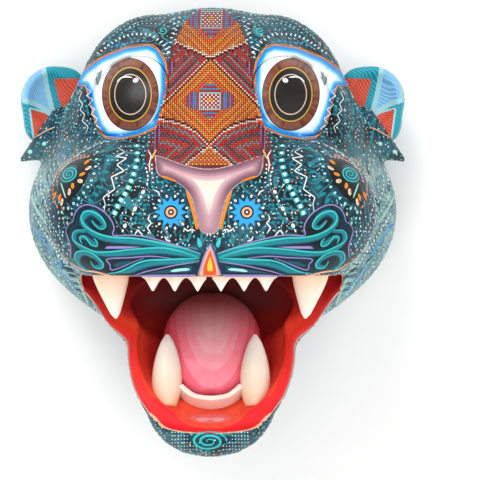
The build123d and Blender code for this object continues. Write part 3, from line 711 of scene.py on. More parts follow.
def incisorDistance(p):
    form = teeth["incisor"]
    x, d, z = p
    r = np.sqrt(x ** 2 + (d - form["middle"]) ** 2)
    s = np.arctan2(x, d - form["middle"]) * form["arc"]
    part = np.abs(((s / form["pitch"]) % 1) - 0.5) * 2
    notch = np.sin(np.pi / 2 * part) ** 1.15
    low = mouth["lipZ"] - form["drop"] + 9.4 * notch
    low = np.where(np.abs(s) < 2, np.maximum(low, mouth["lipZ"] + 2 - np.abs(s)), low)
    thick = 1.6 + 2.0 * np.clip((z - low) / 9, 0, 1)
    body = np.maximum(np.abs(r - form["arc"]) - thick, low - z)
    body = np.maximum(body, z - (mouth["lipZ"] + 5))
    return np.maximum(body, np.abs(s) - 3 * form["pitch"])


piece = meshOfDistance("upperIncisors", incisorDistance, (-52, 150, -38), (52, 194, -18), 0.6)
setField(piece, "along", np.clip((mouth["lipZ"] + 2 - pointsOf(piece)[2]) / 9, 0.35, 1))
settle(piece, ["upper_incisors"])
piece.data.materials.append(toothPaint)


def lowerIncisorDistance(p):
    along, out = rimTerms(p)
    r = np.sqrt(p[0] ** 2 + (along - 79) ** 2)
    turn = np.arctan2(p[0], along - 79)
    top = -6.0 - 1.1 * np.abs(np.sin(turn * 3.2)) ** 6
    body = np.maximum(np.abs(r - 27) - 1.9, np.maximum(out - top, -26 - out))
    return np.maximum(body, (np.abs(turn) - math.radians(54)) * 27)


piece = meshOfDistance("lowerIncisors", lowerIncisorDistance, (-30, 80, -135), (30, 160, -70), 0.7)
setField(piece, "along", np.full(len(piece.data.vertices), 0.75))
settle(piece, ["lower_incisors"])
piece.data.materials.append(toothPaint)
print("teeth set")


# ---- tongue

tongue = {"along": 52, "half": (36.8, 45.8, 15.8), "sink": 17, "groove": 1.6}


def tongueDistance(p):
    body = eggDistance(p, tongue["half"], onRim(0, tongue["along"], -tongue["sink"]), drop=rimDrop)
    furrow = tongue["groove"] * np.exp(-(p[0] / 3.5) ** 2)
    return body + furrow


piece = meshOfDistance("tongue", tongueDistance, (-42, 50, -135), (42, 160, -40), 1.0)
tx, td, tz = pointsOf(piece)
tu, tv = seenAt((tx, td, tz))
middle = (0.5, -53)
fall = 0.47 * np.maximum(middle[1] - tv, 0)
setField(piece, "tongueBand", np.clip(np.hypot(tu - middle[0], fall) / 36.93, 0, 1))
settle(piece, ["tongue"])
# tongue paint: smooth bands of pink from pale in the middle to rose at the edge, a wet-looking gloss
tonguePaint, tree, shader = newMaterial("rosePaint")
place = add(tree, "ShaderNodeTexCoord").node.outputs["Object"]
bands = zoneBands(tree, "tongueBand", [(0.0, "#ffcac8"), (0.25, "#ffb6bc"), (0.4, "#ffa3af"),
                                       (0.55, "#ff8a9b"),
                                       (0.72, "#fb6b80"), (0.86, "#e8475e"), (0.96, "#c8324a")])
mottle = add(tree, "ShaderNodeTexNoise", {"Vector": place, "Scale": 1 / (7 * mm), "Detail": 3.0})
colour = add(tree, "ShaderNodeMix", {"Factor": 0.2, "A": bands, "B": mottle}, data_type="RGBA",
             blend_type="OVERLAY")
# painted shade: the tongue runs darker towards its back end, where the throat lies in shade
throatShadeHeight = add(tree, "ShaderNodeSeparateXYZ", {"Vector": place}).node.outputs["Z"]
tongueShadeShare = add(tree, "ShaderNodeMapRange", {"Value": throatShadeHeight, "From Min": -0.078, "From Max": -0.046})
colour = add(tree, "ShaderNodeMix", {"Factor": tongueShadeShare, "A": colour, "B": "#a04a4a"}, data_type="RGBA")
tree.links.new(colour, shader.inputs["Base Color"])
shader.inputs["Coat Weight"].default_value = 0.2
shader.inputs["Coat Roughness"].default_value = 0.2
brushMarks(tree, shader, place, 1.6, 0.2, 0.36)
piece.data.materials.append(tonguePaint)
print("tongue set")


# ---- paint laid on the carving, as thin raised dots, strokes and leaves

solid = [], []
for piece in [headPiece, *eyePiece.values()]:
    start = len(solid[0])
    solid[0].extend(vertex.co / mm for vertex in piece.data.vertices)
    solid[1].extend([start + i for i in face.vertices] for face in piece.data.polygons)
surface = BVHTree.FromPolygons(*solid)
layers = {}
taken = np.zeros((760, 700), bool)  # half-millimetre squares of the layout that already carry paint


def seen(u, v, fromX=sight["x"]):
    start = Vector((fromX, -sight["depth"], 0))
    point, normal, index, gap = surface.ray_cast(
        start, (Vector((u, -sight["plane"], v)) - start).normalized())
    return (point, normal) if point else None


def claim(u, v, reach):
    i, j, r = int((190 - v) * 2), int((u + 175) * 2), int(reach * 2 + 0.5)
    taken[max(i - r, 0):i + r + 1, max(j - r, 0):j + r + 1] = True


def isFree(u, v):
    i, j = int((190 - v) * 2), int((u + 175) * 2)
    return 0 <= i < 760 and 0 <= j < 700 and not taken[i, j]


def lay(colour, points, faces, both=True):
    store = layers.setdefault(colour, ([], []))
    for flip in (1, -1) if both else (1,):
        start = len(store[0])
        store[0].extend((flip * q.x, -q.y, q.z) for q in points)
        store[1].extend([start + i for i in (face if flip == 1 else reversed(face))] for face in faces)


def dotAt(place, radius, colour, height=0.35, stretch=1, turn=0, sides=6, both=True, base=0):
    point, normal = place
    right = Vector((1, 0, 0)) - normal * normal.x
    if right.length < 0.1:
        right = Vector((0, 0, 1)) - normal * normal.z
    right.normalize()
    up = normal.cross(right)
    a = math.radians(turn)
    longWay, wide = right * math.cos(a) + up * math.sin(a), up * math.cos(a) - right * math.sin(a)
    points, faces = [], []
    for share, lift in ((1, base - 0.15), (0.62, base + height)):
        for k in range(sides):
            t = 2 * math.pi * (k + 0.5) / sides
            points.append(point + longWay * (radius * stretch * share * math.cos(t))
                          + wide * (radius * share * math.sin(t)) + normal * lift)
    points.append(point + normal * (base - 0.9))
    for k in range(sides):
        n = (k + 1) % sides
        faces += [(k, n, sides + n, sides + k), (n, k, 2 * sides)]
    faces.append(tuple(range(sides, 2 * sides)))
    lay(colour, points, faces, both)


def dot(spot, radius, colour, **more):
    place = seen(*spot)
    if place:
        claim(*spot, radius * max(1, more.get("stretch", 1)) + 0.5)
        dotAt(place, radius, colour, **more)


def walked(line, gap, smooth=True):  # evenly spaced points along a line
    line = rounded(line, closed=False, steps=8) if smooth else line
    lengths = [0]
    for a, b in zip(line, line[1:]):
        lengths.append(lengths[-1] + math.dist(a, b))
    count = max(2, round(lengths[-1] / gap) + 1)
    at = np.linspace(0, lengths[-1], count)
    return list(zip(np.interp(at, lengths, [q[0] for q in line]),
                    np.interp(at, lengths, [q[1] for q in line])))


def dotRow(line, gap, radius, colour, across=False, **more):
    spots = walked(line, gap)
    for i, spot in enumerate(spots):
        a, b = spots[max(i - 1, 0)], spots[min(i + 1, len(spots) - 1)]
        turn = math.degrees(math.atan2(b[1] - a[1], b[0] - a[0])) + (90 if across else 0)
        dot(spot, radius, colour, turn=turn, **more)


def stroke(line, width, colour, height=0.3, base=0, ends=(0.35, 0.35), smooth=True, both=True,
           fromX=sight["x"]):
    spots = walked(line, 1.1, smooth)
    run = []
    for spot in spots:
        place = seen(*spot, fromX)
        if place and (not run or (place[0] - run[-1][0]).length < 9):
            run.append(place)
            claim(*spot, width / 2 + 0.5)
    if len(run) < 3:
        return
    points, faces = [], []
    for i, (point, normal) in enumerate(run):
        t = i / (len(run) - 1)
        share = min(1, ends[0] + (1 - ends[0]) * t / 0.18, ends[1] + (1 - ends[1]) * (1 - t) / 0.18)
        tangent = run[min(i + 1, len(run) - 1)][0] - run[max(i - 1, 0)][0]
        side = normal.cross(tangent).normalized() * (width * share / 2)
        for reach, lift in ((-1, base - 0.15), (-0.6, base + height), (0.6, base + height), (1, base - 0.15)):
            spot = point + side * reach
            if width > 2:
                spot = surface.find_nearest(spot)[0]
            points.append(spot + normal * lift)
        points.append(point + normal * (base - 0.9))
        if i:
            for k in range(5):
                n, low = (k + 1) % 5, 5 * (i - 1)
                faces.append((low + k, low + n, low + 5 + n, low + 5 + k))
    faces += [(4, 3, 2, 1, 0), tuple(5 * (len(run) - 1) + k for k in range(5))]
    lay(colour, points, faces, both)


def leaf(outline, colour, height=0.25, base=0, both=True, smooth=True, middle=None):
    outline = rounded(outline, steps=4) if smooth else walked(outline + outline[:1], 2, smooth=False)[:-1]
    area = sum(a[0] * b[1] - b[0] * a[1] for a, b in zip(outline, outline[1:] + outline[:1]))
    if area < 0:
        outline = outline[::-1]
    middle = middle or tuple(sum(q[i] for q in outline) / len(outline) for i in (0, 1))
    reach = max(math.dist(q, middle) for q in outline)
    rings = max(2, round(reach / 2.5))
    points, faces, count = [], [], len(outline)
    for i in range(rings):
        share = 1 - i / rings if i else 1
        for q in outline:
            u, v = middle[0] + (q[0] - middle[0]) * share, middle[1] + (q[1] - middle[1]) * share
            place = seen(u, v)
            if not place:
                return
            claim(u, v, 0.8)
            points.append(place[0] + place[1] * (base + height if i else base - 0.15))
    place = seen(*middle)
    points += [place[0] + place[1] * (base + height), place[0] + place[1] * (base - 1.2)]
    for i in range(rings - 1):
        for k in range(count):
            n = (k + 1) % count
            faces.append((i * count + k, i * count + n, (i + 1) * count + n, (i + 1) * count + k))
    for k in range(count):
        n, last = (k + 1) % count, (rings - 1) * count
        faces += [(last + k, last + n, rings * count), (n, k, rings * count + 1)]
    lay(colour, points, faces, both)


def spiral(middle, across, rise, turns, start=0, lean=0, way=1, least=0.08):
    line, a = [], math.radians(lean)
    for k in range(int(turns * 16) + 1):
        share = 1 - (1 - least) * k / (turns * 16)
        t = math.radians(start) + way * 2 * math.pi * k / 16
        x, y = across * share * math.cos(t), rise * share * math.sin(t)
        line.append((middle[0] + x * math.cos(a) - y * math.sin(a),
                     middle[1] + x * math.sin(a) + y * math.cos(a)))
    return line


# the beaded band: rows of fine dots in diamonds and chevrons, worked out bead by bead
bead = {"gap": 1.5, "radius": 0.8, "top": 174.5, "bottom": 55, "firstMiddle": 163.2, "middle": 103,
        "firstCross": 135.1, "cross": 69.4}


def beadColour(x, v, column, row):
    a, odd = abs(x), (column + row) % 2
    upper = bead["firstCross"] + 0.43 * a
    lower = bead["firstCross"] - 0.97 * a
    arms = bead["cross"] + 21.4 * (1 - math.exp(-a / 16.2))
    tail = bead["cross"] - 0.8 * a
    for line, below in ((upper, True), (lower, True), (arms, False), (tail, False)):
        off = v - line
        if (line is lower and v < 88) or (line is tail and v > bead["cross"]):
            continue
        if abs(off) < 0.9:
            return "white" if column % 2 else "cream"
        if 0.9 <= (-off if below else off) < 2.4:
            return "black" if column % 2 else "maroon"
    edge = float(bridgeHalf(v)) - a
    heart = None
    if v > upper:
        heart = v - bead["firstMiddle"]
    elif arms < v < lower:
        heart = v - bead["middle"]
    if heart is not None:
        dv = abs(heart)
        if a < 8.3 and dv < 7:
            if a > 6.7 or dv > 5.2:
                return "aqua"
            return "yellow" if a < 2 and dv < 2 else ("red" if odd else "white")
        if a < 10.5 and dv < 13 and dv >= 7:
            return (("red", "azure", "red", "azure")[int((dv - 7) / 1.5) % 4] if a < 15 - dv
                    else ("orange" if odd else "rust"))
        if dv < 7 and a < 18:
            k = int((a - 8.3) / 1.5)
            if dv < 7.4 - 0.55 * k:
                return ("red", "azure", "azure", "red", "azure", "red", "red")[min(k, 6)]
        step = int((a * 0.96 + dv - 18) / 3)
        if step % 2:
            return "yellow" if odd else "orange"
        return "orange" if odd else "rust"
    if v < tail:
        return "yellow" if odd and row % 3 else ("orange" if odd else "rust")
    if edge < 5 and (122 < v < 132 or v < 86) and v < 132:
        return "lilac" if column % 2 else "maroon"
    if v > lower:
        depthIn = a - max((bead["firstCross"] - v) / 0.97, (v - bead["firstCross"]) / 0.43)
    else:
        depthIn = min(arms - v, v - tail) * 0.8
    return ("red", "turquoise", "red", "maroon")[int(max(depthIn, 0) / 2.4) % 4] if odd else \
        ("rust", "red", "red", "teal")[int(max(depthIn, 0) / 2.4) % 4]


row, v, count = 0, bead["top"], 0
while v > bead["bottom"]:
    half = float(bridgeHalf(v)) - 0.6
    for column in range(-int(half / bead["gap"]), int(half / bead["gap"]) + 1):
        x = column * bead["gap"]
        place = seen(x, v, 0)
        claim(x, v, 1.2)
        inNose = outlineDistance(np.array([x + 0.6 * (x < 0)]), np.array([v]), noseOutline)[0] > -0.8
        if place and not inNose and place[1].y < 0.2:
            dotAt(place, bead["radius"], beadColour(x, v, column, row), height=0.4, both=False)
            count += 1
    v -= bead["gap"]
    row += 1
print("band laid:", count, "beads")

# zones that the strokes leave alone
for zoneLine in (eyeOutline, noseOutline, scrollOutline):
    box = [min(q[0] for q in zoneLine), max(q[0] for q in zoneLine), min(q[1] for q in zoneLine),
           max(q[1] for q in zoneLine)]
    us, vs = np.meshgrid(np.arange(box[0], box[1], 0.5), np.arange(box[2], box[3], 0.5))
    for u, v, gap in zip(us.ravel(), vs.ravel(), outlineDistance(us, vs, zoneLine).ravel()):
        if gap > -1:
            claim(u, v, 0)

# eye: thin orange rim, catch light and grey corner
stroke([*eyeOutline, eyeOutline[0]], 0.81, "orange", ends=(1, 1), height=0.15)
dot((-56, 118), 2.44, "white", height=0.3, sides=10)
stroke([(-70, 116.5), (-67, 119.5), (-63, 120.5), (-58.5, 120)], 1.48, "white", height=0.2)
leaf([(-88.5, 122), (-79.5, 127.5), (-84, 113)], "grey", height=0.12, smooth=False)
# brow
brow = [(-84, 138), (-79.5, 141), (-75, 144.5), (-67.5, 149), (-60, 151.5), (-53, 152), (-45.5, 151.5),
        (-40.5, 148.5), (-35, 144), (-32, 138)]
dotRow(brow, 3.25, 0.7, "white", across=True, stretch=3.2)
dotRow([(-73.5, 142.5), (-66, 144.5), (-58.5, 146), (-50.5, 147)], 3.84, 1.4, "azure")
dotRow([(-29, 170), (-27.5, 158.5), (-30, 147.5), (-32, 139)], 3.69, 0.59, "white", stretch=2.6, across=True)
dotRow([(-23.5, 167.5), (-24.5, 159.5), (-27.5, 152)], 3.32, 0.59, "white", stretch=2.2, across=True)
for line in (
        [(-66, 153), (-56.5, 159.5), (-45.5, 163), (-34.5, 164)],
        [(-75, 149), (-64, 158), (-53, 164.5), (-38, 168.5), (-16, 170.5)],
        [(-60, 156), (-51.5, 159.5), (-39.5, 159.5), (-32, 157.5)]):
    dotRow(line, 3.4, 0.52, "aqua", stretch=1.8)
stroke(spiral((-36, 154.5), 3.69, 2.95, 1.6, start=200), 0.96, "turquoise")
# temple
for line, wide in (
        ([(-92.5, 112), (-89, 109.5), (-92.5, 106.5), (-87.5, 103.5), (-91, 99.5), (-86, 96.5), (-89, 93),
          (-84, 89.5), (-87, 85.5), (-81.5, 82.5), (-84.5, 79)], 1.1),
        ([(-95.5, 109.5), (-98, 104), (-95, 100.5), (-97, 96), (-93.5, 92.5), (-95.5, 88), (-91, 83.5),
          (-92.5, 79)], 0.9)):
    stroke(line, wide * 0.74, "white", smooth=False)
for line in (
        [(-101.5, 109.5), (-104, 99.5), (-104.5, 88.5), (-101.5, 77)],
        [(-107.5, 103.5), (-109.5, 94.5), (-111, 84), (-110.5, 74)],
        [(-114, 90), (-116.5, 81), (-116.5, 72.5)]):
    dotRow(line, 3.25, 0.63, "turquoise", stretch=2, across=False)
    dotRow([(q[0] + 2.22, q[1]) for q in line], 3.25, 0.44, "white")
# cheek flower
flower = (-105, 48.5)
leaf([(-113.5, 27.5), (-115, 37), (-112, 47), (-106, 56), (-97, 60.5), (-89.5, 59), (-88.5, 53),
      (-92.5, 43), (-100, 32.5), (-107.5, 26)],
     "black", height=0.12)
leaf([(-110.5, 41.5), (-112, 45.5), (-109, 51.5), (-104, 55.5), (-99.5, 56), (-98.5, 52.5), (-101, 46.5),
      (-105, 41.5)], "deep", height=0.2, base=0.1)
stroke(spiral(flower, 7.02, 5.17, 2.6, start=160, lean=38), 1.11, "turquoise", base=0.3)
stroke([(-111, 42), (-109.5, 37), (-107.5, 31)], 1.18, "aqua", base=0.15)
for k, spot in enumerate([(-92, 57.5), (-91, 53), (-95.5, 48.5), (-97, 43.5), (-102.5, 40), (-105, 35.5),
                          (-112, 31.5), (-110.5, 28), (-115.5, 33)]):
    u, v = spot
    turn = math.degrees(math.atan2(v - flower[1], u - flower[0]))
    dot(spot, 1.62, ("orange", "cream")[k % 2], stretch=1.75, turn=turn, base=0.25, sides=8)
    if k % 2:
        dot(spot, 0.74, "rust", stretch=1.8, turn=turn, base=0.5)
for line in (
        [(-91, 61.5), (-98.5, 60), (-106, 56), (-112, 49.5), (-114, 43.5)],
        [(-94, 62.5), (-103, 60.5), (-110.5, 55.5), (-115.5, 47)]):
    dotRow(line, 2.66, 0.66, "peach", stretch=2.1, base=0.1)
dotRow([(-116.5, 43.5), (-117, 37), (-116.5, 30), (-114, 24.5)], 3.1, 0.81, "orange", stretch=2, across=False)
# face between the cheek and the nose
stroke([(-69, 68), (-64, 65), (-70.5, 61.5), (-62.5, 60.5), (-70, 55.5), (-64.5, 51), (-74, 46.5),
        (-71.5, 37.5),
        (-80, 31.5), (-78.5, 26.5), (-79.5, 20.5)], 0.96, "white", smooth=False)
beadedRow = [(-55, 69.5), (-55, 59), (-58, 47), (-63, 35.5), (-68.5, 26.5), (-71.5, 20)]
dotRow(beadedRow, 5.17, 2.44, "turquoise", stretch=1.35, across=True, sides=4)
dotRow(beadedRow, 5.17, 1.33, "white", stretch=1.2, base=0.3, sides=8)
dotRow([(-75, 68), (-76.5, 57.5), (-79.5, 47), (-84.5, 35.5), (-89.5, 29)], 5.91, 1.55, "teal", stretch=2.2,
       across=True, sides=8)
dotRow([(-84.5, 65), (-85.5, 54.5), (-88.5, 44.5), (-93.5, 36), (-99.5, 29.5), (-104.5, 24.5),
        (-110.5, 20.5)], 5.46, 1.11, "aqua",
       stretch=1.4, across=True, sides=8)
for u, v in ((-50.5, 35.5), (-56.5, 23), (-64, 10.5)):
    dot((u, v), 1.48, "white", stretch=1.35, turn=60)
    dot((u - 1.62, v - 3.69), 0.81, "white", stretch=1.7, turn=70)
    for k in range(5):
        dot((u - 1.11 + 1.4 * k, v + 3.25 - 0.41 * k * k * 0.5), 0.44, "white")
for line in (
        [(-45.5, 19), (-47, 15.5), (-44.5, 12.5), (-47.5, 9), (-44.5, 4.5)],
        [(-42.5, 37), (-39.5, 35.5), (-38, 32.5)],
        [(-47, 66.5), (-44.5, 62), (-46, 56), (-45.5, 50)],
        [(-20.5, 9), (-17.5, 6.5), (-14.5, 8), (-12, 6.5)],
        [(-34.5, 3), (-33.5, 0), (-30, -1)],
        [(-57, 3.5), (-54.5, 7.5), (-50.5, 3)]):
    stroke(line, 1.03, "white", smooth=False)
for line in ([(-48.5, 53), (-47, 47), (-47.5, 41.5)], [(-44, 55.5), (-44, 49.5)]):
    dotRow(line, 3.25, 0.74, "white", stretch=1.7)
# whisker rosette
rose = (-30, 20.5)
star = []
for k in range(24):
    t, r = math.pi * k / 12, (13.66, 8.49)[k % 2]
    star.append((rose[0] + r * math.cos(t), rose[1] + r * math.sin(t)))
leaf(star, "azure", height=0.2, smooth=False, middle=rose)
for k in range(12):
    t = math.pi * (k + 0.5) / 6
    dot((rose[0] + 12.19 * math.cos(t), rose[1] + 12.19 * math.sin(t)), 0.96, "white", stretch=1.4,
        turn=math.degrees(t))
for radius, colour, base in (
        (9.8, "black", 0.12),
        (7.8, "peach", 0.22),
        (4.8, "brown", 0.32),
        (1.9, "white", 0.42)):
    disc = [(rose[0] + radius * 0.74 * math.cos(k * math.pi / 8),
             rose[1] + radius * 0.74 * math.sin(k * math.pi / 8))
            for k in range(16)]
    leaf(disc, colour, base=base, height=0.12, smooth=False, middle=rose)
# lip scrolls: broad teal bodies, a bright line on each and violet outlines
scrolls = [
    ([(-8, -12), (-19.5, -8.5), (-32, -5), (-45.5, -2.5), (-60, -1), (-72, 0), (-83, 2.5), (-91, 7.5),
      (-95.5, 14),
      (-92.5, 19), (-87.5, 20), (-82.5, 16), (-79.5, 11), (-83, 9), (-87, 12.5), (-88.5, 14.5)], 5.6),
    ([(-8.5, -13.5), (-22, -10.5), (-34.5, -8.5), (-47, -8.5), (-60, -9.5), (-73.5, -10.5), (-86, -9.5),
      (-95.5, -6), (-101, 0),
      (-99.5, 6), (-92.5, 6)], 5.2),
    ([(-96.5, -1), (-97, 1.5), (-93.5, 2), (-89, -1), (-85.5, -3), (-86, 0)], 3.6),
    ([(-9, -15), (-23.5, -16), (-36, -16.5), (-47, -18), (-55, -20.5), (-61.5, -23), (-70.5, -24)], 5.4),
    ([(-89, -16.5), (-86, -19.5), (-81.5, -19), (-83, -15), (-89, -11.5), (-95, -9.5), (-98.5, -12.5),
      (-97, -18), (-91, -21.5)], 4.4),
]
glints = [
    ([(-8, -10.5), (-19.5, -6.5), (-32, -3.5), (-45.5, -0.5), (-60, 1.5), (-72.5, 2), (-83, 4.5),
      (-92, 9.5), (-96, 15.5),
      (-94, 20.5), (-88.5, 21), (-81.5, 17), (-78, 10.5), (-81.5, 8), (-86, 11), (-88, 14)], 1.9),
    ([(-9, -13), (-22.5, -8.5), (-34.5, -6), (-45.5, -6), (-60, -7), (-73.5, -8.5), (-85.5, -8.5),
      (-94, -5), (-101, -1),
      (-102.5, 3.5), (-100, 7), (-92.5, 7.5)], 1.8),
    ([(-95.5, -2.5), (-97, 2), (-93.5, 2.5), (-89, -3), (-84.5, -4.5), (-84.5, -1), (-87, 1.5)], 1.5),
    ([(-10, -13.5), (-23.5, -14), (-36, -14.5), (-47, -15), (-54.5, -17), (-61.5, -20.5), (-69, -23.5),
      (-76.5, -24.5)], 1.8),
    ([(-89, -15.5), (-86, -20), (-81, -20.5), (-80, -17), (-86, -11), (-93.5, -8), (-99.5, -9),
      (-100.5, -14), (-96.5, -19), (-91, -23)], 1.7),
]
for line, width in scrolls:
    stroke(line, width * 0.74 + 2.2, "deep", height=0.2)
for line, width in scrolls:
    stroke(line, width * 0.74, "teal", height=0.28, base=0.12)
for line, width in glints:
    stroke(line, width * 0.74, "turquoise", height=0.28, base=0.42)
for outline in ([(-79.5, -6.5), (-78, -4.5), (-64, -4.5), (-50.5, -5), (-64, -6.5)],
                [(-58, -26.5), (-45.5, -25.5), (-10.5, -25.5), (-11.5, -27), (-45.5, -27)]):
    leaf(outline, "lilac", height=0.3, base=0.05, smooth=False)
for outline in ([(-73.5, -18.5), (-69, -16), (-60, -15), (-58, -15.5), (-64.5, -19), (-72, -20.5)],
                [(-50.5, -25), (-38, -22.5), (-24.5, -20.5), (-13.5, -19), (-13.5, -23.5), (-30.5, -24.5)]):
    leaf(outline, "deep", height=0.3, base=0.05, smooth=False)
stroke([(-30, -23), (-23.5, -22), (-16, -21.5)], 2.22, "aqua", height=0.2, base=0.4)
for line in (
        [(-107.5, 6.5), (-106.5, 9.5), (-104.5, 12.5), (-102.5, 13.5), (-101, 19), (-98, 23.5),
         (-92.5, 26), (-85.5, 24.5), (-78.5, 20), (-74, 14.5), (-72, 9), (-72.5, 3.5), (-63, 3.5),
         (-53, 3), (-41.5, 0.5), (-30.5, -2.5), (-19.5, -6), (-8, -10)],
        [(-30, -13.5), (-38, -12.5), (-47, -12), (-60, -13), (-77, -14), (-75, -18), (-74, -22),
         (-67.5, -20.5), (-58.5, -16.5), (-50, -13.5)],
        [(-9, -16), (-23.5, -18), (-38, -21), (-49, -23.5), (-58, -26.5)],
        [(-107.5, 6.5), (-106, 1.5), (-104, -4.5), (-104, -12.5)]):
    stroke(line, 0.96, "lilac", height=0.3, base=0.1)
# lips, philtrum and the nose's edges
# the grey line down the muzzle's edge against the jowl is a painted highlight: the paler rim of light caught
# on that rounded edge
stroke([(-118.5, 41.5), (-119.5, 29.5), (-118, 14.5), (-115, 3), (-110.5, -7.5), (-104, -16.5), (-95, -22)],
       1.18, "grey")
stroke([(-104, -16.5), (-95, -22), (-86, -23.5), (-75, -26), (-60, -28), (-45.5, -28), (-23.5, -28),
        (-10, -27)], 1.92, "peach", base=0.1)
leaf([(-1, -1), (-6.5, -12), (-9, -20), (-11.5, -27.5), (-1, -28), (8.5, -27.5), (5.5, -20), (3.5, -12)],
     "lilac", both=False, smooth=False)
leaf([(-1, -2.5), (-5.5, -12.5), (-8, -20.5), (-10, -27.5), (-1, -28), (7, -27.5), (5, -20.5),
      (2.5, -12.5)], "peach", base=0.15, both=False, smooth=False)
leaf([(-1, -6), (-4, -13.5), (-6.5, -20.5), (-6.5, -26.5), (4, -26.5), (3.5, -20.5), (1.5, -13.5)], "rust",
     base=0.4, both=False, smooth=False)
leaf([(-1, -11), (-3.5, -18), (-3.5, -23.5), (1.5, -23.5), (1, -18)], "yellow", base=0.65, both=False,
     smooth=False)
stroke([(-19, 37), (-16, 29.5), (-13, 19), (-10.5, 8)], 2.36, "orange", ends=(0.2, 0.9), base=0.1)
stroke([(-37.5, 47), (-32, 45.5), (-25.5, 43)], 1.92, "orange")
leaf([(-10.5, 3), (-8, 0), (-6.5, -4.5), (-9, -6.5), (-11, -2.5)], "turquoise")
stroke([(-40.5, 67), (-42.5, 63.5), (-44, 60)], 1.62, "yellow")
# jowl: pale brushwork that follows its edge
stroke([(-134, 34.5), (-131, 26), (-126, 17.5), (-120, 9), (-115.5, 0), (-109.5, -9), (-104.5, -18)], 3.25,
       "mint", ends=(0.3, 0.4))
stroke([(-100, -27.5), (-97, -34), (-93.5, -41.5), (-91, -47.5)], 3.32, "mint")
stroke([(-135.5, 19), (-133.5, 12), (-128, 4.5), (-121.5, -4.5), (-115.5, -12.5)], 3.1, "bloom")
stroke([(-114, -16.5), (-110.5, -23.5), (-104.5, -31), (-100, -37)], 2.95, "bloom")
for k, line in enumerate((
        [(-130.5, 32.5), (-126, 23.5), (-120, 14.5), (-114, 5), (-109, -4.5)],
        [(-131, 19), (-126.5, 11), (-121, 2), (-115, -7.5), (-109, -16.5)],
        [(-129.5, 44.5), (-131, 38.5), (-129.5, 31.5)],
        [(-126, 47), (-126, 37), (-122, 26.5), (-120, 19)],
        [(-115, -16.5), (-109.5, -25), (-103, -34.5), (-97, -43)],
        [(-125, 59), (-128, 50), (-129.5, 41.5)])):
    dotRow(line, 3.1, 0.7, ("aqua", "white")[k % 2], stretch=1.7)
combTop = (-109, -19)
for k in range(9):
    u, v = combTop[0] + 1.18 * k, combTop[1] - 2.51 * k
    stroke([(u, v), (u + 3.69, v - 0.37), (u + 6.65, v - 1.48)], 1.11, "black" if k % 2 else "mint")
# tuft
for spot in ((-123.5, 71), (-134, 65), (-132, 57)):
    dot(spot, 1.77, "aqua", stretch=1.5, turn=20, sides=8)
stroke([(-115.5, 83.5), (-121.5, 81), (-126.5, 78), (-132, 74.5), (-137.5, 68), (-142, 60.5)], 1.11, "peach")
# chin
stroke(spiral((-2, -148.5), 13.29, 7.39, 2.6, start=0), 1.77, "turquoise", both=False, base=0.2)
stroke(spiral((-2, -148.5), 11.08, 5.91, 2.2, start=20), 1.62, "deep", both=False)
latticeTop = (-29, -142)
for k in range(60):
    u, v = latticeTop[0] + 2.22 * (k % 10), latticeTop[1] - 2.51 * (k // 10)
    if k % 10 < 4 + k // 10 or k % 3 == 0:
        dot((u, v), 0.59, "aqua" if k % 2 else "white")
print("strokes laid")


# small marks fill what is left: first the face as seen from the front, then the sides, top and underside
def smallMark(place, flow, pale):
    pick = random.random()
    turn = flow + random.uniform(-14, 14)
    if pick < 0.34:
        dotAt(place, random.uniform(0.42, 0.62), "white" if random.random() < 0.7 else "aqua")
    elif pick < 0.5:
        dotAt(place, 0.5, "white", stretch=2.3, turn=turn)
    elif pick < 0.66:
        dotAt(place, 0.8, "aqua" if pale else "turquoise", stretch=1.6, turn=turn)
    elif pick < 0.8:
        dotAt(place, 1.05, "mint" if pale else "teal", stretch=1.5, turn=turn, sides=8)
    elif pick < 0.9:
        dotAt(place, 0.95, "bloom" if pale else "deep", stretch=1.6, turn=turn, sides=8)
    elif pick < 0.93:
        dotAt(place, 0.7, "orange")


def isBare(point):  # clear of the mouth, the hollow and the back edge
    q = (np.array([point.x]), np.array([-point.y]), np.array([point.z]))
    onLip = rimTerms(q)[1][0] > -rimReach(q[0], q[2])[0] - 1.6 and -124 < point.z < -34 and point.y < -80
    return bulkDistance(q)[0] > -1.2 and -point.y > 2.5 and not onLip


gap, u = 3.3, -172.0
while u < 8:
    v = 188.0
    while v > -172:
        spot = (u + random.uniform(-0.7, 0.7), v + random.uniform(-0.7, 0.7))
        place = seen(*spot) if isFree(*spot) else None
        if place and place[0].x < -0.3 and isBare(place[0]):
            point, normal = place
            flow = math.degrees(math.atan2(v - 15, u + 52)) + 90
            smallMark(place, flow, point.x < -92 and point.z < 60)
            claim(*spot, 0.9)
        v -= gap
    u += gap
for depthIn in np.arange(5, 205, 4.4):
    for k in range(150):
        a = math.pi * (k + random.uniform(-0.3, 0.3)) / 150
        start = Vector((-math.sin(a) * 400, -depthIn + random.uniform(-1, 1), 40 + math.cos(a) * 400))
        point, normal, index, far = surface.ray_cast(start, (Vector((0, start.y, 40)) - start).normalized())
        if not point or not isBare(point) or abs(point.x) < 0.5:
            continue
        toEye = (Vector((sight["x"], -sight["depth"], 0)) - point).normalized()
        if normal.dot(toEye) > 0.16:
            sightLine = surface.ray_cast(Vector((sight["x"], -sight["depth"], 0)), -toEye)
            if sightLine[0] and (sightLine[0] - point).length < 2:
                continue
        if (normal.dot((start - point).normalized()) > 0.3
                and random.random() < min(1, 0.35 + abs(400 - far) / 300)):
            smallMark((point, normal), 0, point.z < 70)
print("small marks laid")

for colour, (points, faces) in layers.items():
    piece = makeMesh("paint" + colour.capitalize(), points, faces, smooth=True)
    settle(piece, [])
    piece.data.materials.append(paint(colour))
    print("paint", colour, len(piece.data.polygons), "faces")

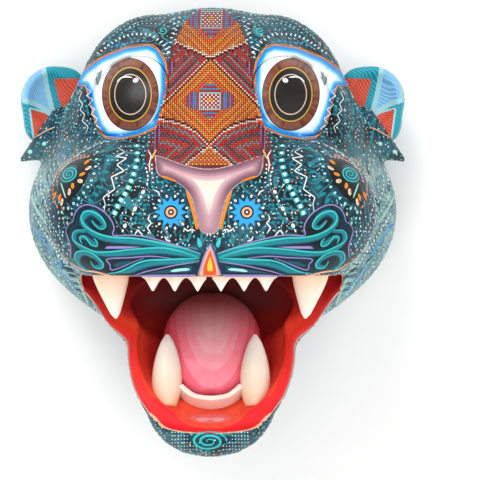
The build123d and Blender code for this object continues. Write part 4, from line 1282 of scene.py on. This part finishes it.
# ---- hanger: galvanised steel, dull grey with fine scratches and pale spangle
steel, tree, shader = newMaterial("galvanisedSteel")
place = add(tree, "ShaderNodeTexCoord").node.outputs["Object"]
spangle = add(tree, "ShaderNodeTexVoronoi", {"Vector": place, "Scale": 1 / (2.4 * mm)})
tone = add(tree, "ShaderNodeSeparateColor", {"Color": spangle.node.outputs["Color"]})
colour = add(tree, "ShaderNodeValToRGB", {"Fac": tone}, [
    (0.0, "#8b9092"), (0.5, "#a3a8aa"), (1.0, "#bcc1c2")])
tree.links.new(colour, shader.inputs["Base Color"])
shader.inputs["Metallic"].default_value = 1.0
scratchPlace = add(tree, "ShaderNodeMapping", {"Vector": place, "Scale": (1, 1, 9)})
scratches = add(tree, "ShaderNodeTexNoise", {"Vector": scratchPlace, "Scale": 1 / (1.2 * mm), "Detail": 4.0})
rough = add(tree, "ShaderNodeMapRange", {"Value": scratches, "To Min": 0.35, "To Max": 0.6})
bump = add(tree, "ShaderNodeBump", {"Height": scratches, "Strength": 0.25, "Distance": 0.05 * mm})
tree.links.new(rough, shader.inputs["Roughness"])
tree.links.new(bump, shader.inputs["Normal"])
for name in ("hanger_strap", "hanger_ring", "hanger_screw_lower", "hanger_screw_upper"):
    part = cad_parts[name]
    if not part.material_slots:
        part.data.materials.append(steel)
    for slot in part.material_slots:
        slot.material = steel

# ---- room, light and camera
scene = bpy.context.scene
world = bpy.data.worlds.new("paleRoom")
scene.world = world
world.use_nodes = True
world.node_tree.nodes["Background"].inputs["Color"].default_value = (1, 1, 1, 1)
world.node_tree.nodes["Background"].inputs["Strength"].default_value = 0.62
# a matt white painted wall that sweeps out to a floor, seen from its front only
wall = {"y": 0.0012, "top": 0.9, "bendTop": -0.42, "bendRadius": 0.2, "bendSteps": 12, "floorEnd": -2.2,
        "halfWidth": 1.8}
profile = [(wall["y"], wall["top"]), (wall["y"], wall["bendTop"])]
for k in range(1, wall["bendSteps"] + 1):
    a = math.radians(k * 90 / wall["bendSteps"])
    profile.append((wall["y"] - wall["bendRadius"] * (1 - math.cos(a)),
                    wall["bendTop"] - wall["bendRadius"] * math.sin(a)))
profile.append((wall["floorEnd"], wall["bendTop"] - wall["bendRadius"]))
sweepPoints = [(s * wall["halfWidth"] / mm, -y / mm, z / mm) for y, z in profile for s in (-1, 1)]
sweepFaces = [(2 * k, 2 * k + 2, 2 * k + 3, 2 * k + 1) for k in range(len(profile) - 1)]
sweep = makeMesh("paleSweep", sweepPoints, sweepFaces)
wallPaint, tree, shader = newMaterial("mattWallPaint")
shader.inputs["Base Color"].default_value = linear("#f7f7f6")
shader.inputs["Roughness"].default_value = 0.9
shader.inputs["Emission Color"].default_value = (1, 1, 1, 1)
shader.inputs["Emission Strength"].default_value = 0.03
behind = add(tree, "ShaderNodeNewGeometry").node.outputs["Backfacing"]
clear = add(tree, "ShaderNodeBsdfTransparent")
oneSided = add(tree, "ShaderNodeMixShader", {"Fac": behind, 1: shader.outputs[0], 2: clear})
tree.links.new(oneSided, tree.nodes["Material Output"].inputs["Surface"])
sweep.data.materials.append(wallPaint)
for name, energy, size, place in (
        ("softKey", 15, 0.9, (-0.55, -1.2, 1.25)),
        ("softFill", 5, 1.6, (1.2, -1.4, 0.3)),
        ("softFront", 7, 1.0, (0.0, -1.7, -0.25)),
        ("softBack", 9, 1.2, (-0.7, 1.3, 0.6))):
    lampData = bpy.data.lights.new(name, "AREA")
    lampData.energy = energy
    lampData.size = size
    lamp = bpy.data.objects.new(name, lampData)
    scene.collection.objects.link(lamp)
    lamp.location = place
    lamp.rotation_euler = (Vector((0, -0.1, 0)) - lamp.location).to_track_quat("-Z", "Y").to_euler()
camData = bpy.data.cameras.new("view")
cam = bpy.data.objects.new("view", camData)
scene.collection.objects.link(cam)
scene.camera = cam
camData.sensor_width = 36
camData.lens = 121.9
camData.clip_end = 20
cam.location = (sight["x"] * mm, -sight["depth"] * mm, 0)
cam.rotation_euler = (math.radians(90), 0, 0)
scene.view_settings.view_transform = "Standard"
